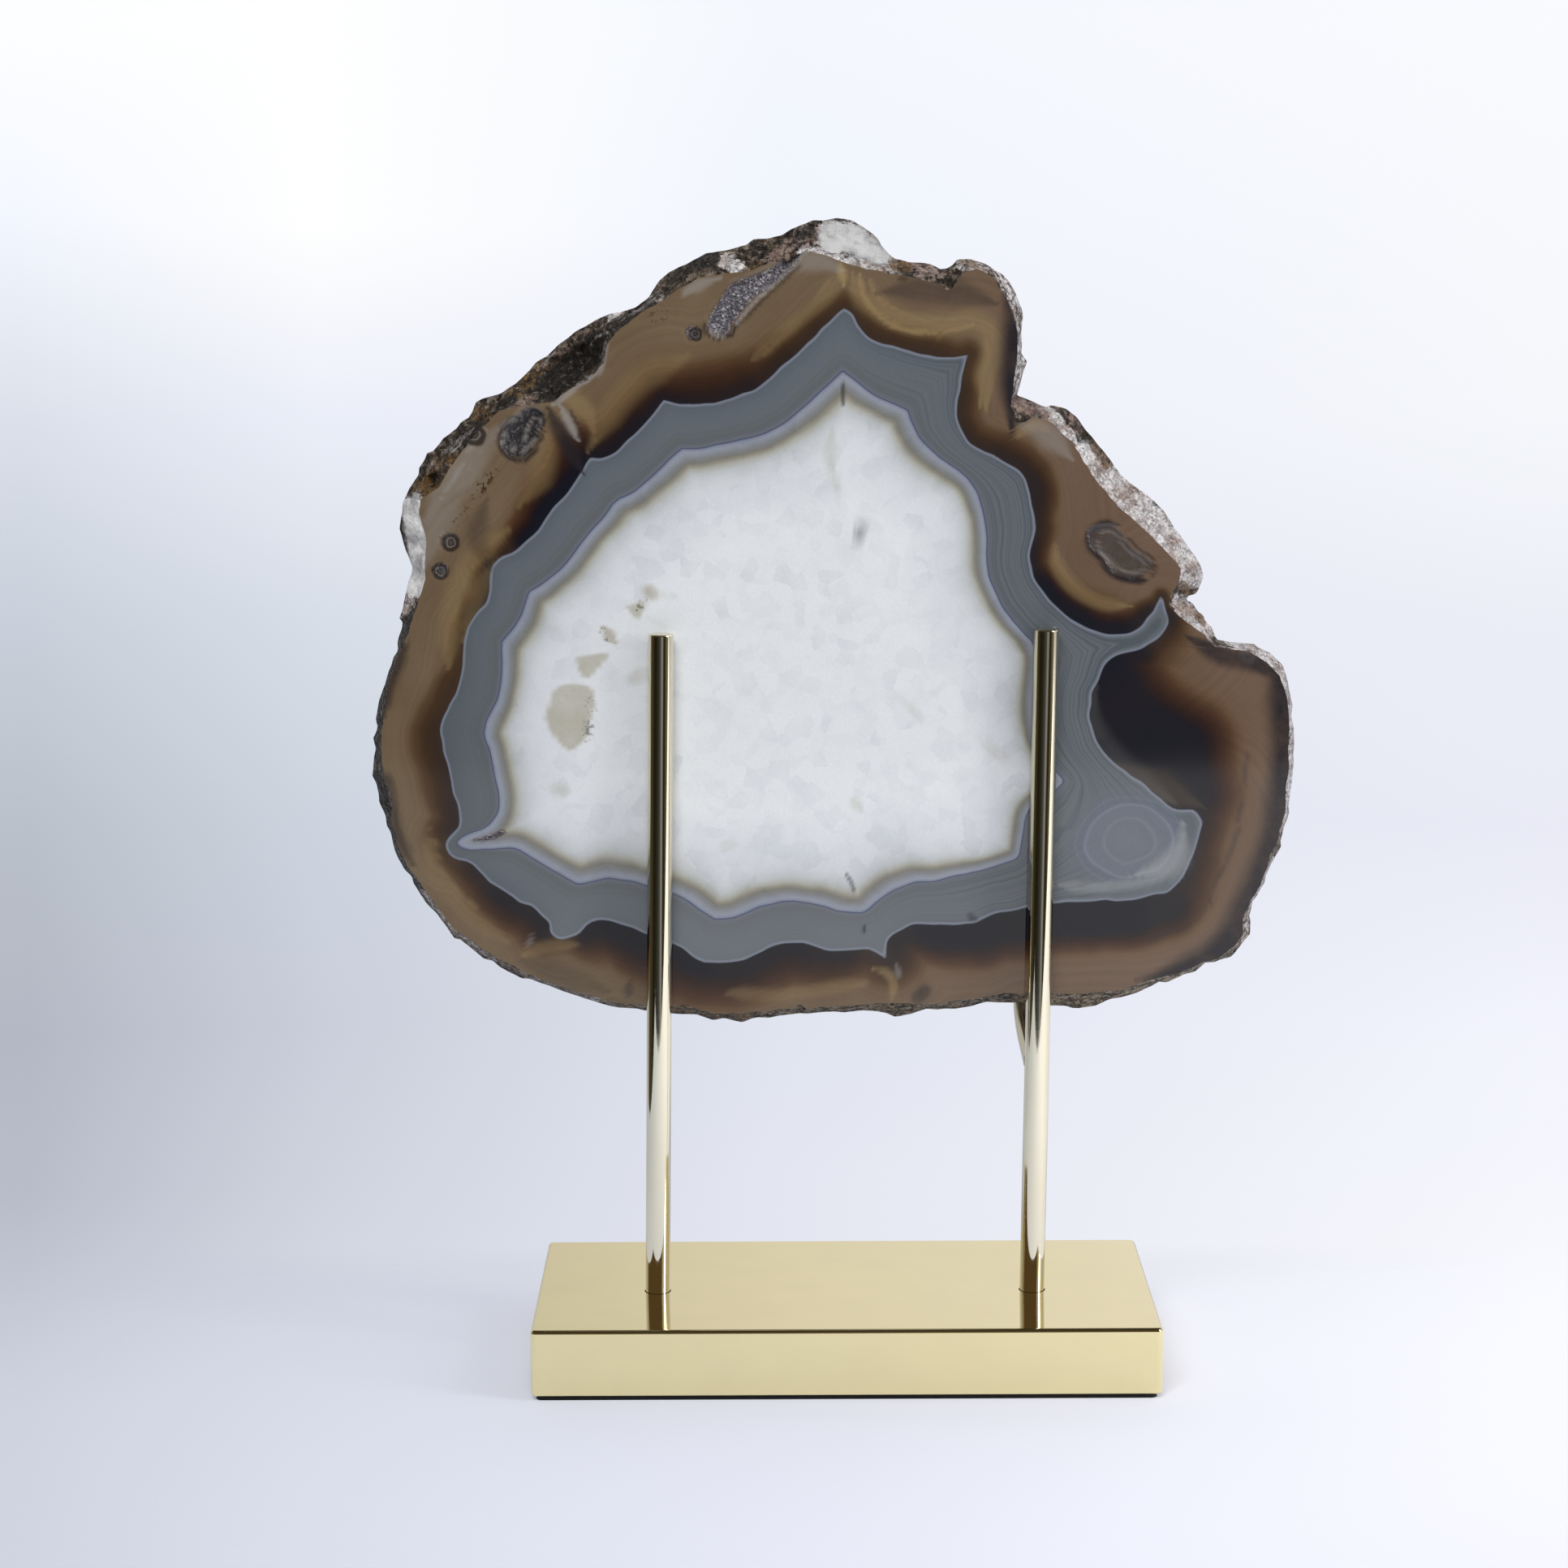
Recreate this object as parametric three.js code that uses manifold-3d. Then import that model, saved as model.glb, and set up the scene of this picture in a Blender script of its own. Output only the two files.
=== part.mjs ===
// Polished agate slice standing upright in two forked posts on a rectangular metal base.
// Millimetres, +Z up. The origin is the middle of the underside of the pad under the base,
// +X is to the right and the polished front face looks along -Y.

import * as THREE from 'three';
import { mergeVertices } from 'three/addons/utils/BufferGeometryUtils.js';
import Module from 'manifold-3d';

const wasm = await Module();
wasm.setup();

// Space left between pieces that touch, and the distance within which corners are one.
const GAP = 0.3;
const WELD = 1e-4;

// Base plate: a rounded metal block on a thin dark pad.
const PAD_THICKNESS = 1.2;
const PAD_INSET = 1.5;
const BASE_WIDTH = 200;
const BASE_DEPTH = 98;
const BASE_HEIGHT = 21.7;
const BASE_CORNER_RADIUS = 2;
const BASE_EDGE_RADIUS = 1.2;
const BASE_UNDERSIDE = PAD_THICKNESS + GAP;
const BASE_TOP = BASE_UNDERSIDE + BASE_HEIGHT;

// Posts: round rods seated in blind sockets, both leaning a little to the right.
const ROD_RADIUS = 4;
const ROD_CHAMFER = 0.5;
const ROD_SIDES = 32;
const SOCKET_DEPTH = 8;
const POST_LEAN = 0.0143;
const POST_Y = -7;

// Each fork: where its post stands, how high it is, how high the tine leaves it and how far
// the tine is turned about the post.
const LEFT_FORK = { x: -61, height: 216.2, branch: 71.6, turn: 0.034 };
const RIGHT_FORK = { x: 61.2, height: 217.3, branch: 74.8, turn: 0.135 };

// Tine: a rod that leaves the back of its post, bends upright and ends behind the slice.
const TINE_REACH = 20.9;
const TINE_TOP = 142;
const TINE_SIDES = 24;
const TINE_STEPS = 24;
const TINE_FIRST_PULL = { back: 11, up: 6 };
const TINE_LAST_PULL = 10;
const TINE_BEND_HEIGHT = 22;

// Slice: a flat plate, its front against the posts and its back against the tines.
const SLICE_FRONT = POST_Y + ROD_RADIUS + GAP;
const SLICE_THICKNESS = 12;
const SLICE_BACK = SLICE_FRONT + SLICE_THICKNESS;
const SLICE_MIDDLE = { x: 0, z: 240 };
const BACK_RIM_INSET = 2;

// The rough rind runs over these rings, from the rim of the front face to that of the back.
const RIND_STEPS = [0.2, 0.42, 0.64, 0.84];
const RIND_LEAST_SLOPE = 5;
const RIND_SLOPE_PER_WIDTH = 0.4;
const LUMP_LEAST = 0.25;
const LUMP_PER_WIDTH = 0.11;
const LUMP_WAVES = [
  { share: 0.6, perColumn: 1.7, perRing: 2.3 },
  { share: 0.4, perColumn: 0.61, perRing: -1.9 },
];

// Widest outline of the stone, clockwise from the top as seen from the front: [x, z].
const GIRDLE = [
  [-1.8, 369.5], [3, 369], [5.5, 367.2], [9.4, 364.7], [11.4, 362.9], [12.3, 360.8], [15.1, 357.9],
  [16.4, 356.9], [21, 355.8], [25.5, 355.5], [29.5, 354.5], [31, 353.5], [33, 353.5], [34.8, 354.6],
  [36.3, 356.4], [40, 356.8], [43, 355.9], [46, 354.5], [50.6, 351.6], [52.4, 349.5], [54.1, 346.9],
  [56.4, 341.4], [57, 338.9], [56.4, 333], [56.7, 327.2], [58.4, 324], [57, 320.2], [56, 316.2],
  [55.3, 313.8], [57.1, 313.3], [62.2, 311], [64.7, 309.8], [66.2, 310.4], [71.3, 309.3],
  [74.4, 306.7], [78.2, 301.5], [80.9, 298.6], [84.6, 293.9], [88.4, 288.6], [91.9, 285.1],
  [96.9, 281.8], [99.4, 279.8], [101.9, 277.2], [105.8, 271.5], [107.5, 269.5], [111, 264.5],
  [113.7, 260.7], [115.5, 255.5], [114.1, 251], [113.2, 249.8], [111, 249.6], [110.2, 248.6],
  [110.2, 247.7], [111.7, 247.3], [114, 244], [115.4, 243.2], [116, 241.6], [118.2, 239.4],
  [119.3, 236.2], [120.3, 234.9], [124.3, 234.2], [126.3, 233.7], [127.6, 234.6], [131.8, 233.9],
  [133.3, 232.5], [137.3, 230.7], [141.3, 226.7], [142.3, 223.7], [144.5, 214.2], [144.1, 211.2],
  [145.1, 206.7], [145.1, 199], [145, 191.7], [144.4, 186.7], [143.6, 181.2], [143.9, 179.2],
  [142.7, 174.7], [141.5, 169.7], [141.8, 167.7], [139.3, 163.5], [136.8, 158.7], [136.5, 156.2],
  [134.3, 152], [132.6, 149.7], [131.7, 145], [132.3, 143.3], [132.3, 138.9], [129.7, 136.5],
  [127.2, 133], [125.7, 131.5], [120.7, 129.7], [117.5, 129.7], [114.5, 126.6], [110.2, 125.3],
  [105.2, 123.1], [102.5, 123.4], [99.7, 121.4], [93.5, 118.7], [87.7, 117.5], [84.7, 116.5],
  [82.1, 115], [77.1, 114], [74.6, 114.1], [72.6, 115], [67.6, 115.1], [58.6, 116.1],
  [50.1, 116.4], [46.6, 116.7], [40.1, 114.9], [37.6, 114.5], [30.5, 114.2], [27, 114.5],
  [24.5, 113.7], [22, 112.5], [16.5, 111.6], [14, 112.9], [9, 114], [0, 113.5], [-14, 113.2],
  [-24.5, 111.7], [-28, 111.8], [-33, 110.3], [-36, 110.6], [-39, 111.5], [-42.7, 111.1],
  [-48, 112.7], [-55.6, 113.1], [-64.6, 114.2], [-67.1, 115], [-73.1, 115.3], [-79.6, 116.9],
  [-85.1, 118.9], [-91.6, 121], [-101.7, 125.1], [-104.7, 125.3], [-111.7, 128.8], [-114.2, 131],
  [-117.2, 131.7], [-124.2, 138.4], [-126.2, 138.7], [-130.2, 144.6], [-135.7, 150.9],
  [-139.2, 157], [-139.7, 159.2], [-142.4, 162.2], [-145.2, 167.7], [-146.5, 173.7], [-147.6, 176],
  [-147.8, 178.7], [-149.9, 184], [-150.6, 189.7], [-151.8, 192.2], [-151.2, 198.7],
  [-150.4, 201.2], [-151.1, 204.7], [-149.8, 208.5], [-150.2, 210.8], [-149.2, 216.8],
  [-146, 225.8], [-144, 230.8], [-142.5, 233.1], [-142.7, 235.5], [-140.9, 242.4], [-142.1, 243.1],
  [-140.2, 249.8], [-137.5, 260.2], [-139.7, 265], [-141.7, 272], [-140.5, 277.2], [-140.5, 279.7],
  [-138.1, 284.7], [-134.9, 289.4], [-134.7, 291.2], [-132.4, 295.9], [-130.2, 296.7],
  [-127.2, 300.7], [-122.7, 303.9], [-121.4, 305.7], [-118.9, 307.2], [-116.2, 312.2],
  [-114.4, 313.4], [-108.9, 314.7], [-103.9, 317.7], [-99.4, 322], [-97.9, 324.2], [-95.4, 325.7],
  [-93.7, 326.5], [-90.4, 329.7], [-85.9, 333.2], [-80.7, 336.6], [-73.9, 339.7], [-70.4, 340.2],
  [-64.9, 342.1], [-60.9, 345.3], [-59.9, 347.3], [-57.9, 350.3], [-54.3, 353.2], [-49.7, 355.1],
  [-44.7, 357.7], [-42.9, 358.7], [-38.2, 359.2], [-32.2, 360.9], [-30.2, 361.2], [-28.5, 362.9],
  [-22.1, 363.5], [-19.1, 364.1], [-15.9, 366.3], [-10, 368.5], [-5.5, 369],
];

// Rim of the polished front face, clockwise from the top: [x, z].
const FRONT_RIM = [
  [-10, 359.1], [-5, 357.6], [2, 354.9], [10, 353.1], [20, 351.2], [30.2, 349], [30.8, 348],
  [32.8, 346.7], [34.8, 347.3], [36, 350], [37.8, 352.3], [42, 353.3], [47.2, 350.6],
  [50.8, 345.1], [53.5, 338.2], [54.9, 332.2], [54.7, 325.2], [53.7, 317.7], [52.7, 309.7],
  [53.7, 306.8], [54.5, 305.3], [57.8, 305.6], [59.7, 307.3], [65.7, 305.6], [69.7, 301.3],
  [72.2, 299.1], [75.7, 293.3], [79.7, 287.6], [84.6, 281.4], [89.6, 276.6], [97.6, 269.4],
  [101.6, 265.4], [105.5, 260.7], [106.9, 258.8], [106.3, 254], [104.3, 250.9], [103.4, 247.5],
  [104.3, 246.5], [106.3, 244], [109.2, 241.8], [111.9, 239.8], [115, 237.7], [116, 235.6],
  [118.8, 233.4], [126, 232.9], [128, 232.9], [134.3, 229.3], [139.2, 224.6], [141.5, 217.6],
  [142.2, 212.6], [142.6, 207.1], [142, 204.1], [142.4, 200.9], [142.3, 194.7], [141.6, 188.7],
  [141.5, 185.7], [141.8, 183.4], [141.3, 178.5], [139.4, 171.5], [137.2, 166.3], [135.6, 161.8],
  [134.2, 156.8], [131.5, 152.3], [129.1, 147.3], [128.6, 145], [128.9, 140.8], [126.3, 136.8],
  [121, 132.5], [116.6, 131.4], [112.1, 129.5], [108.1, 127.7], [100.6, 126], [94.6, 123.7],
  [89.6, 122.2], [82.6, 121.7], [76, 121], [60, 120.9], [51.8, 121.2], [46, 120.1], [38, 119.1],
  [30, 117.9], [22, 117.8], [15.5, 118.4], [3, 117.4], [-8, 116.9], [-12, 116.2], [-14.5, 118.4],
  [-16, 116.6], [-25, 115.7], [-34, 114.9], [-42, 114.9], [-50, 117.2], [-56, 118],
  [-64.4, 117.6], [-73, 118.4], [-80, 120.4], [-88, 122.9], [-95, 125.4], [-102, 128.4],
  [-106.8, 130.9], [-112, 133.5], [-120.2, 139.4], [-125.7, 143.2], [-130, 148.8],
  [-136.2, 158.3], [-140, 163.1], [-142.6, 169.3], [-145, 178.8], [-144.5, 185.2],
  [-147.2, 194.7], [-148.1, 201.7], [-147.2, 209.6], [-146.2, 218.1], [-144.5, 224.6],
  [-141.7, 232], [-138.7, 239], [-136.7, 245], [-134, 251.5], [-132.6, 257], [-132.6, 262.5],
  [-132, 270], [-134.2, 277.5], [-133.7, 282], [-127.7, 286], [-123.7, 292.5], [-119.2, 298.3],
  [-114.2, 304.3], [-108.2, 309.8], [-97, 312], [-91.3, 312.3], [-86.3, 316.3], [-80, 319.3],
  [-75.3, 324.8], [-73.8, 331.3], [-69.3, 335.8], [-63.3, 340], [-57.8, 343.2], [-52.4, 347.1],
  [-45.9, 350.6], [-37, 352.4], [-29, 353.2], [-23, 355.6], [-17, 355.8], [-14, 358.1],
];

// Crystal pockets in the front face: middle, half length, half width, turn from +X and depth.
const PITS = [
  { x: -30, z: 346, long: 17, short: 3.6, turn: 0.68, deep: 1.6 },
  { x: -104, z: 303, long: 8.5, short: 6, turn: 0.85, deep: 2 },
  { x: 87.2, z: 264.3, long: 11, short: 4.8, turn: -0.7, deep: 1.2 },
  { x: -47.4, z: 334.2, long: 2.4, short: 2.2, turn: 0, deep: 0.9 },
  { x: -126.6, z: 268.8, long: 3, short: 2.8, turn: 0, deep: 0.6 },
  { x: -130, z: 260.4, long: 2.6, short: 2.2, turn: 0.5, deep: 0.7 },
  { x: -112.8, z: 173.6, long: 6, short: 0.9, turn: 0.33, deep: 0.9 },
];
const PIT_SIDES = 14;
const PIT_RINGS = 8;

// Materials.

function polishedGoldMaterial() {
  return new THREE.MeshStandardMaterial({ color: 0xd9c892, roughness: 0.12, metalness: 1 });
}

function padMaterial() {
  return new THREE.MeshStandardMaterial({ color: 0x16151a, roughness: 0.9, metalness: 0 });
}

function agateMaterial() {
  return new THREE.MeshStandardMaterial({ color: 0x8f8a86, roughness: 0.2, metalness: 0 });
}

// Solids.

// One closed solid from a geometry: corners at the same place become one vertex.
function solidOf(geometry) {
  const bare = geometry.clone();
  bare.deleteAttribute('normal');
  bare.deleteAttribute('uv');
  const merged = mergeVertices(bare, WELD);
  return new wasm.Manifold(new wasm.Mesh({
    numProp: 3,
    vertProperties: new Float32Array(merged.attributes.position.array),
    triVerts: new Uint32Array(merged.index.array),
  }));
}

function geometryOf(solid) {
  const mesh = solid.getMesh();
  const geometry = new THREE.BufferGeometry();
  geometry.setAttribute('position', new THREE.BufferAttribute(mesh.vertProperties, 3));
  geometry.setIndex(new THREE.BufferAttribute(mesh.triVerts, 1));
  geometry.computeVertexNormals();
  return geometry;
}

function namedMesh(name, geometry, material) {
  const mesh = new THREE.Mesh(geometry, material);
  mesh.name = name;
  return mesh;
}

// Upright cylinder about the Z axis between two heights.
function uprightCylinder(radius, bottom, top) {
  const cylinder = new THREE.CylinderGeometry(radius, radius, top - bottom, ROD_SIDES);
  cylinder.rotateX(Math.PI / 2);
  cylinder.translate(0, 0, (bottom + top) / 2);
  return cylinder;
}

// The base and its pad.

function roundedRectangle(width, depth, radius) {
  const x = width / 2;
  const y = depth / 2;
  const shape = new THREE.Shape();
  shape.moveTo(x - radius, -y);
  shape.absarc(x - radius, -y + radius, radius, -Math.PI / 2, 0);
  shape.absarc(x - radius, y - radius, radius, 0, Math.PI / 2);
  shape.absarc(-x + radius, y - radius, radius, Math.PI / 2, Math.PI);
  shape.absarc(-x + radius, -y + radius, radius, Math.PI, Math.PI * 1.5);
  return shape;
}

function basePad() {
  const outline = roundedRectangle(
    BASE_WIDTH - 2 * PAD_INSET, BASE_DEPTH - 2 * PAD_INSET, BASE_CORNER_RADIUS);
  const slab = new THREE.ExtrudeGeometry(
    outline, { depth: PAD_THICKNESS, bevelEnabled: false, curveSegments: 4 });
  return namedMesh('base_pad', geometryOf(solidOf(slab)), padMaterial());
}

function basePlate() {
  const block = new THREE.ExtrudeGeometry(
    roundedRectangle(BASE_WIDTH, BASE_DEPTH, BASE_CORNER_RADIUS), {
      depth: BASE_HEIGHT - 2 * BASE_EDGE_RADIUS,
      bevelThickness: BASE_EDGE_RADIUS,
      bevelSize: BASE_EDGE_RADIUS,
      bevelOffset: -BASE_EDGE_RADIUS,
      bevelSegments: 3,
      curveSegments: 4,
    });
  block.translate(0, 0, BASE_UNDERSIDE + BASE_EDGE_RADIUS);
  let solid = solidOf(block);
  for (const { x } of [LEFT_FORK, RIGHT_FORK]) {
    const socket = uprightCylinder(ROD_RADIUS + GAP, -SOCKET_DEPTH, SOCKET_DEPTH);
    socket.rotateY(POST_LEAN);
    socket.translate(x, POST_Y, BASE_TOP);
    solid = solid.subtract(solidOf(socket));
  }
  return namedMesh('base_plate', geometryOf(solid), polishedGoldMaterial());
}

// The posts and tines.

// Rod on end, standing in its socket, with a small chamfer round its top.
function postGeometry(height) {
  const seat = GAP - SOCKET_DEPTH;
  const profile = [
    new THREE.Vector2(0, seat),
    new THREE.Vector2(ROD_RADIUS, seat),
    new THREE.Vector2(ROD_RADIUS, height - ROD_CHAMFER),
    new THREE.Vector2(ROD_RADIUS - ROD_CHAMFER, height),
    new THREE.Vector2(0, height),
  ];
  const rod = new THREE.LatheGeometry(profile, ROD_SIDES);
  rod.rotateX(Math.PI / 2);
  return geometryOf(solidOf(rod));
}

// Middle line of a tine: it starts on the axis of the post, rises backwards, then stands up.
function tineLine(branch) {
  const bendTop = branch + TINE_BEND_HEIGHT;
  const line = new THREE.CurvePath();
  line.add(new THREE.CubicBezierCurve3(
    new THREE.Vector3(0, 0, branch),
    new THREE.Vector3(0, TINE_FIRST_PULL.back, branch + TINE_FIRST_PULL.up),
    new THREE.Vector3(0, TINE_REACH, branch + TINE_LAST_PULL),
    new THREE.Vector3(0, TINE_REACH, bendTop)));
  line.add(new THREE.LineCurve3(
    new THREE.Vector3(0, TINE_REACH, bendTop),
    new THREE.Vector3(0, TINE_REACH, TINE_TOP)));
  return line;
}

// The tine's lower end is cut to the round of the post that it is joined to.
function tineGeometry(branch) {
  const section = new THREE.Shape();
  section.absarc(0, 0, ROD_RADIUS, 0, Math.PI * 2);
  const rod = new THREE.ExtrudeGeometry(section, {
    extrudePath: tineLine(branch),
    steps: TINE_STEPS,
    curveSegments: TINE_SIDES / 2,
    bevelEnabled: false,
  });
  const facetAllowance = Math.cos(Math.PI / ROD_SIDES);
  const post = uprightCylinder((ROD_RADIUS + GAP) / facetAllowance, 0, TINE_TOP);
  return geometryOf(solidOf(rod).subtract(solidOf(post)));
}

// Post and tine together lean from the top of the base.
function fork(side, dimensions) {
  const group = new THREE.Group();
  group.position.set(dimensions.x, POST_Y, BASE_TOP);
  group.rotation.y = POST_LEAN;
  group.add(namedMesh(
    `post_${side}`, postGeometry(dimensions.height), polishedGoldMaterial()));
  const tine = namedMesh(
    `tine_${side}`, tineGeometry(dimensions.branch), polishedGoldMaterial());
  tine.rotation.z = dimensions.turn;
  group.add(tine);
  return group;
}

// The stone.

// Angle of a point about the middle of the slice, clockwise from straight up.
function clockAngle([x, z]) {
  const angle = Math.atan2(x - SLICE_MIDDLE.x, z - SLICE_MIDDLE.z);
  return angle < 0 ? angle + Math.PI * 2 : angle;
}

// Distance from the middle of the slice to an outline, in the direction of an angle.
function reach(outline, angle) {
  const dx = Math.sin(angle);
  const dz = Math.cos(angle);
  for (let i = 0; i < outline.length; i += 1) {
    const [ax, az] = outline[i];
    const [bx, bz] = outline[(i + 1) % outline.length];
    const px = ax - SLICE_MIDDLE.x;
    const pz = az - SLICE_MIDDLE.z;
    const ex = bx - ax;
    const ez = bz - az;
    const cross = dx * ez - dz * ex;
    const along = (px * ez - pz * ex) / cross;
    const share = (px * dz - pz * dx) / cross;
    if (along > 0 && share >= 0 && share < 1) {
      return along;
    }
  }
  throw new Error('an outline of the slice is open');
}

// Rise and fall between -1 and 1 that differs from one facet of the rind to the next.
function ripple(column, ring) {
  return LUMP_WAVES.reduce(
    (sum, wave) => sum + wave.share * Math.sin(column * wave.perColumn + ring * wave.perRing), 0);
}

// The rings of one column, from the back rim to the front rim: radius and depth of each.
function rindColumn(point, column) {
  const angle = clockAngle(point);
  const widest = Math.hypot(point[0] - SLICE_MIDDLE.x, point[1] - SLICE_MIDDLE.z);
  const front = reach(FRONT_RIM, angle);
  const width = widest - front;
  const lump = LUMP_LEAST + LUMP_PER_WIDTH * width;
  const slope = RIND_LEAST_SLOPE + RIND_SLOPE_PER_WIDTH * width;
  const halfway = {
    radius: widest - BACK_RIM_INSET / 2 + LUMP_LEAST * ripple(column, 0),
    depth: (SLICE_FRONT + slope + SLICE_BACK) / 2,
  };
  const bevel = RIND_STEPS.map((step, ring) => ({
    radius: front + width * step + lump * (1 - step) * ripple(column, ring),
    depth: SLICE_FRONT + slope * step + lump * ripple(column, ring + RIND_STEPS.length),
  }));
  const rings = [
    { radius: widest - BACK_RIM_INSET, depth: SLICE_BACK },
    halfway,
    { radius: widest, depth: SLICE_FRONT + slope },
    ...bevel.reverse(),
    { radius: front, depth: SLICE_FRONT },
  ];
  return { angle, rings };
}

// A round plate, one high and one in radius, whose rings are moved out to the stone's outlines.
function plateGeometry() {
  const columns = [...GIRDLE]
    .sort((a, b) => clockAngle(a) - clockAngle(b))
    .map((point, index) => rindColumn(point, index));
  const bands = columns[0].rings.length - 1;
  const plate = new THREE.CylinderGeometry(1, 1, 1, columns.length, bands);
  const position = plate.attributes.position;
  for (let i = 0; i < position.count; i += 1) {
    const x = position.getX(i);
    const z = position.getZ(i);
    const ring = Math.round((0.5 - position.getY(i)) * bands);
    const turns = (Math.atan2(x, z) / (Math.PI * 2) + 1) % 1;
    const column = columns[Math.round(turns * columns.length) % columns.length];
    const { radius, depth } = column.rings[ring];
    const outward = Math.round(Math.hypot(x, z)) * radius;
    position.setXYZ(
      i,
      SLICE_MIDDLE.x + outward * Math.sin(column.angle),
      depth,
      SLICE_MIDDLE.z + outward * Math.cos(column.angle));
  }
  return plate;
}

// Shallow oval hollow centred on the front face.
function pitSolid({ x, z, long, short, turn, deep }) {
  const hollow = new THREE.SphereGeometry(1, PIT_SIDES, PIT_RINGS);
  hollow.scale(long, deep, short);
  hollow.rotateY(-turn);
  hollow.translate(x, SLICE_FRONT, z);
  return solidOf(hollow);
}

function agateSlice() {
  let solid = solidOf(plateGeometry());
  for (const pit of PITS) {
    solid = solid.subtract(pitSolid(pit));
  }
  return namedMesh('agate_slice', geometryOf(solid), agateMaterial());
}

// The whole object.

const sliceOnStand = new THREE.Group();
sliceOnStand.name = 'agate_slice_on_stand';
sliceOnStand.add(basePad());
sliceOnStand.add(basePlate());
sliceOnStand.add(fork('left', LEFT_FORK));
sliceOnStand.add(fork('right', RIGHT_FORK));
sliceOnStand.add(agateSlice());

export default sliceOnStand;
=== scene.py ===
"""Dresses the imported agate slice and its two-post stand, sets the studio and the camera."""

import math

import bpy
import numpy as np
from bpy.props import FloatProperty, FloatVectorProperty, IntProperty, PointerProperty
from mathutils import Matrix, Vector
from mathutils.geometry import tessellate_polygon


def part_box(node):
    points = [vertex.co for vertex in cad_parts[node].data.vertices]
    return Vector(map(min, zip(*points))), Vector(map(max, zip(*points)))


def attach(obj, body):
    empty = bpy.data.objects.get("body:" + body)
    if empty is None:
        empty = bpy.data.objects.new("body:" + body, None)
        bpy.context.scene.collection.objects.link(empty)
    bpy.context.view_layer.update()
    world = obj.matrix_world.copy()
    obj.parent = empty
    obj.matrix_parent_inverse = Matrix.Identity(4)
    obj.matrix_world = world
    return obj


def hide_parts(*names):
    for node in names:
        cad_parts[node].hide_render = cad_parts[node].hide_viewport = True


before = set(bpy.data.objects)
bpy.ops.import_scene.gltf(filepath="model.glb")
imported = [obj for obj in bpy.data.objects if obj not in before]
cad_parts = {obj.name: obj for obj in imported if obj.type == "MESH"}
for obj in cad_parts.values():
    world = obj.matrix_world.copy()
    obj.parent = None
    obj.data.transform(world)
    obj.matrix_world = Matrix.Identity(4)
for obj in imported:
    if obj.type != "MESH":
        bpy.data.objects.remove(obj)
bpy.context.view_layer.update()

bl_info = {
    "name": "Agate slice on a stand",
    "version": (1, 0, 0),
    "blender": (4, 5, 0),
    "location": "3D View > Sidebar > Agate",
    "description": "Builds the polished agate slice, its gold stand and the studio round them",
    "category": "Object",
}

MM = 0.001

# The stone's outlines and patterns are lists of (x, z) in millimetres on its front face. The
# banding's lines are lists of runs: smooth within a run, with a corner where the next begins.
STONE_MIDDLE = np.array([0.0, 240.0])
FRONT_Y = -2.7
BACK_Y = 9.3
BACK_RIM_INSET = 2.0

# Rings of the stone's mesh: inner and outer part of each face, the rind and its far side. The
# inner part reaches this share of the way out.
FRONT_ROWS = (8, 54)
RIND_ROWS = 24
BEHIND_ROWS = 5
BACK_ROWS = (4, 17)
INNER_SHARE = 0.44

# Random unevenness of the front rim and the widest outline and the narrowest that the rind
# gets, in mm, and the least turn between two columns of the mesh, in radians.
RIM_WOBBLE = 0.3
GIRDLE_WOBBLE = 0.25
LEAST_RIND = 0.6
LEAST_TURN = 3e-4
# Points spaced along the front rim, to read its reach from.
RIM_POINTS = 4000
# Random hills of the rind: share of the lumps' height, size in mm and seed.
RIND_HILLS = ((0.5, 7.0, 3), (0.3, 3.0, 4), (0.2, 1.4, 5))

# Places of the stone's flat maps in the unit square: left and bottom, width and height.
FRONT_MAP = ((0.01, 0.39), (0.69, 0.604))
BACK_MAP = ((0.01, 0.01), (0.42, 0.368))
RIND_MAP = ((0.72, 0.01), (0.27, 0.98))

# Stand, in millimetres and radians, as the solids have it, with the number of sides that its
# rods have here and the turn at which an edge of it is hard.
BASE_LOW, BASE_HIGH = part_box("base_plate")
GAP = 0.3
SOCKET_DEPTH = 8
POST_LEAN = 0.0143
POST_Y = -7
POST_SIDES = 96
TINE_SIDES = 64
SHARP_ANGLE = math.radians(35)
TINE_REACH = 20.9
TINE_TOP = 142
ROD_CHAMFER = 0.5
FORKS = {
    "left": {"x": -61, "height": 216.2, "branch": 71.6, "turn": 0.034},
    "right": {"x": 61.2, "height": 217.3, "branch": 74.8, "turn": 0.135},
}

# How far the table reaches from the middle, in metres, and where it ends as the polished metal
# mirrors it.
TABLE_REACH = 2
TABLE_FRONT = -0.443
TABLE_LEFT = -0.4
# The light on the floor that veils the stone's polish: middle and size in metres, and watts
# per square metre and unit of solid angle.
VEIL_PLACE = (0, -0.8115, 0.001)
VEIL_SIZE = (0.7, 0.737)
VEIL_GLOW = 0.62

# The camera: place in metres, and how many degrees it looks down, leans and turns.
CAMERA_PLACE = (-0.019735, -1.1645, 0.3874)
CAMERA_TILT = 9.633
CAMERA_ROLL = 0.235
CAMERA_SWING = -0.031

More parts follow.
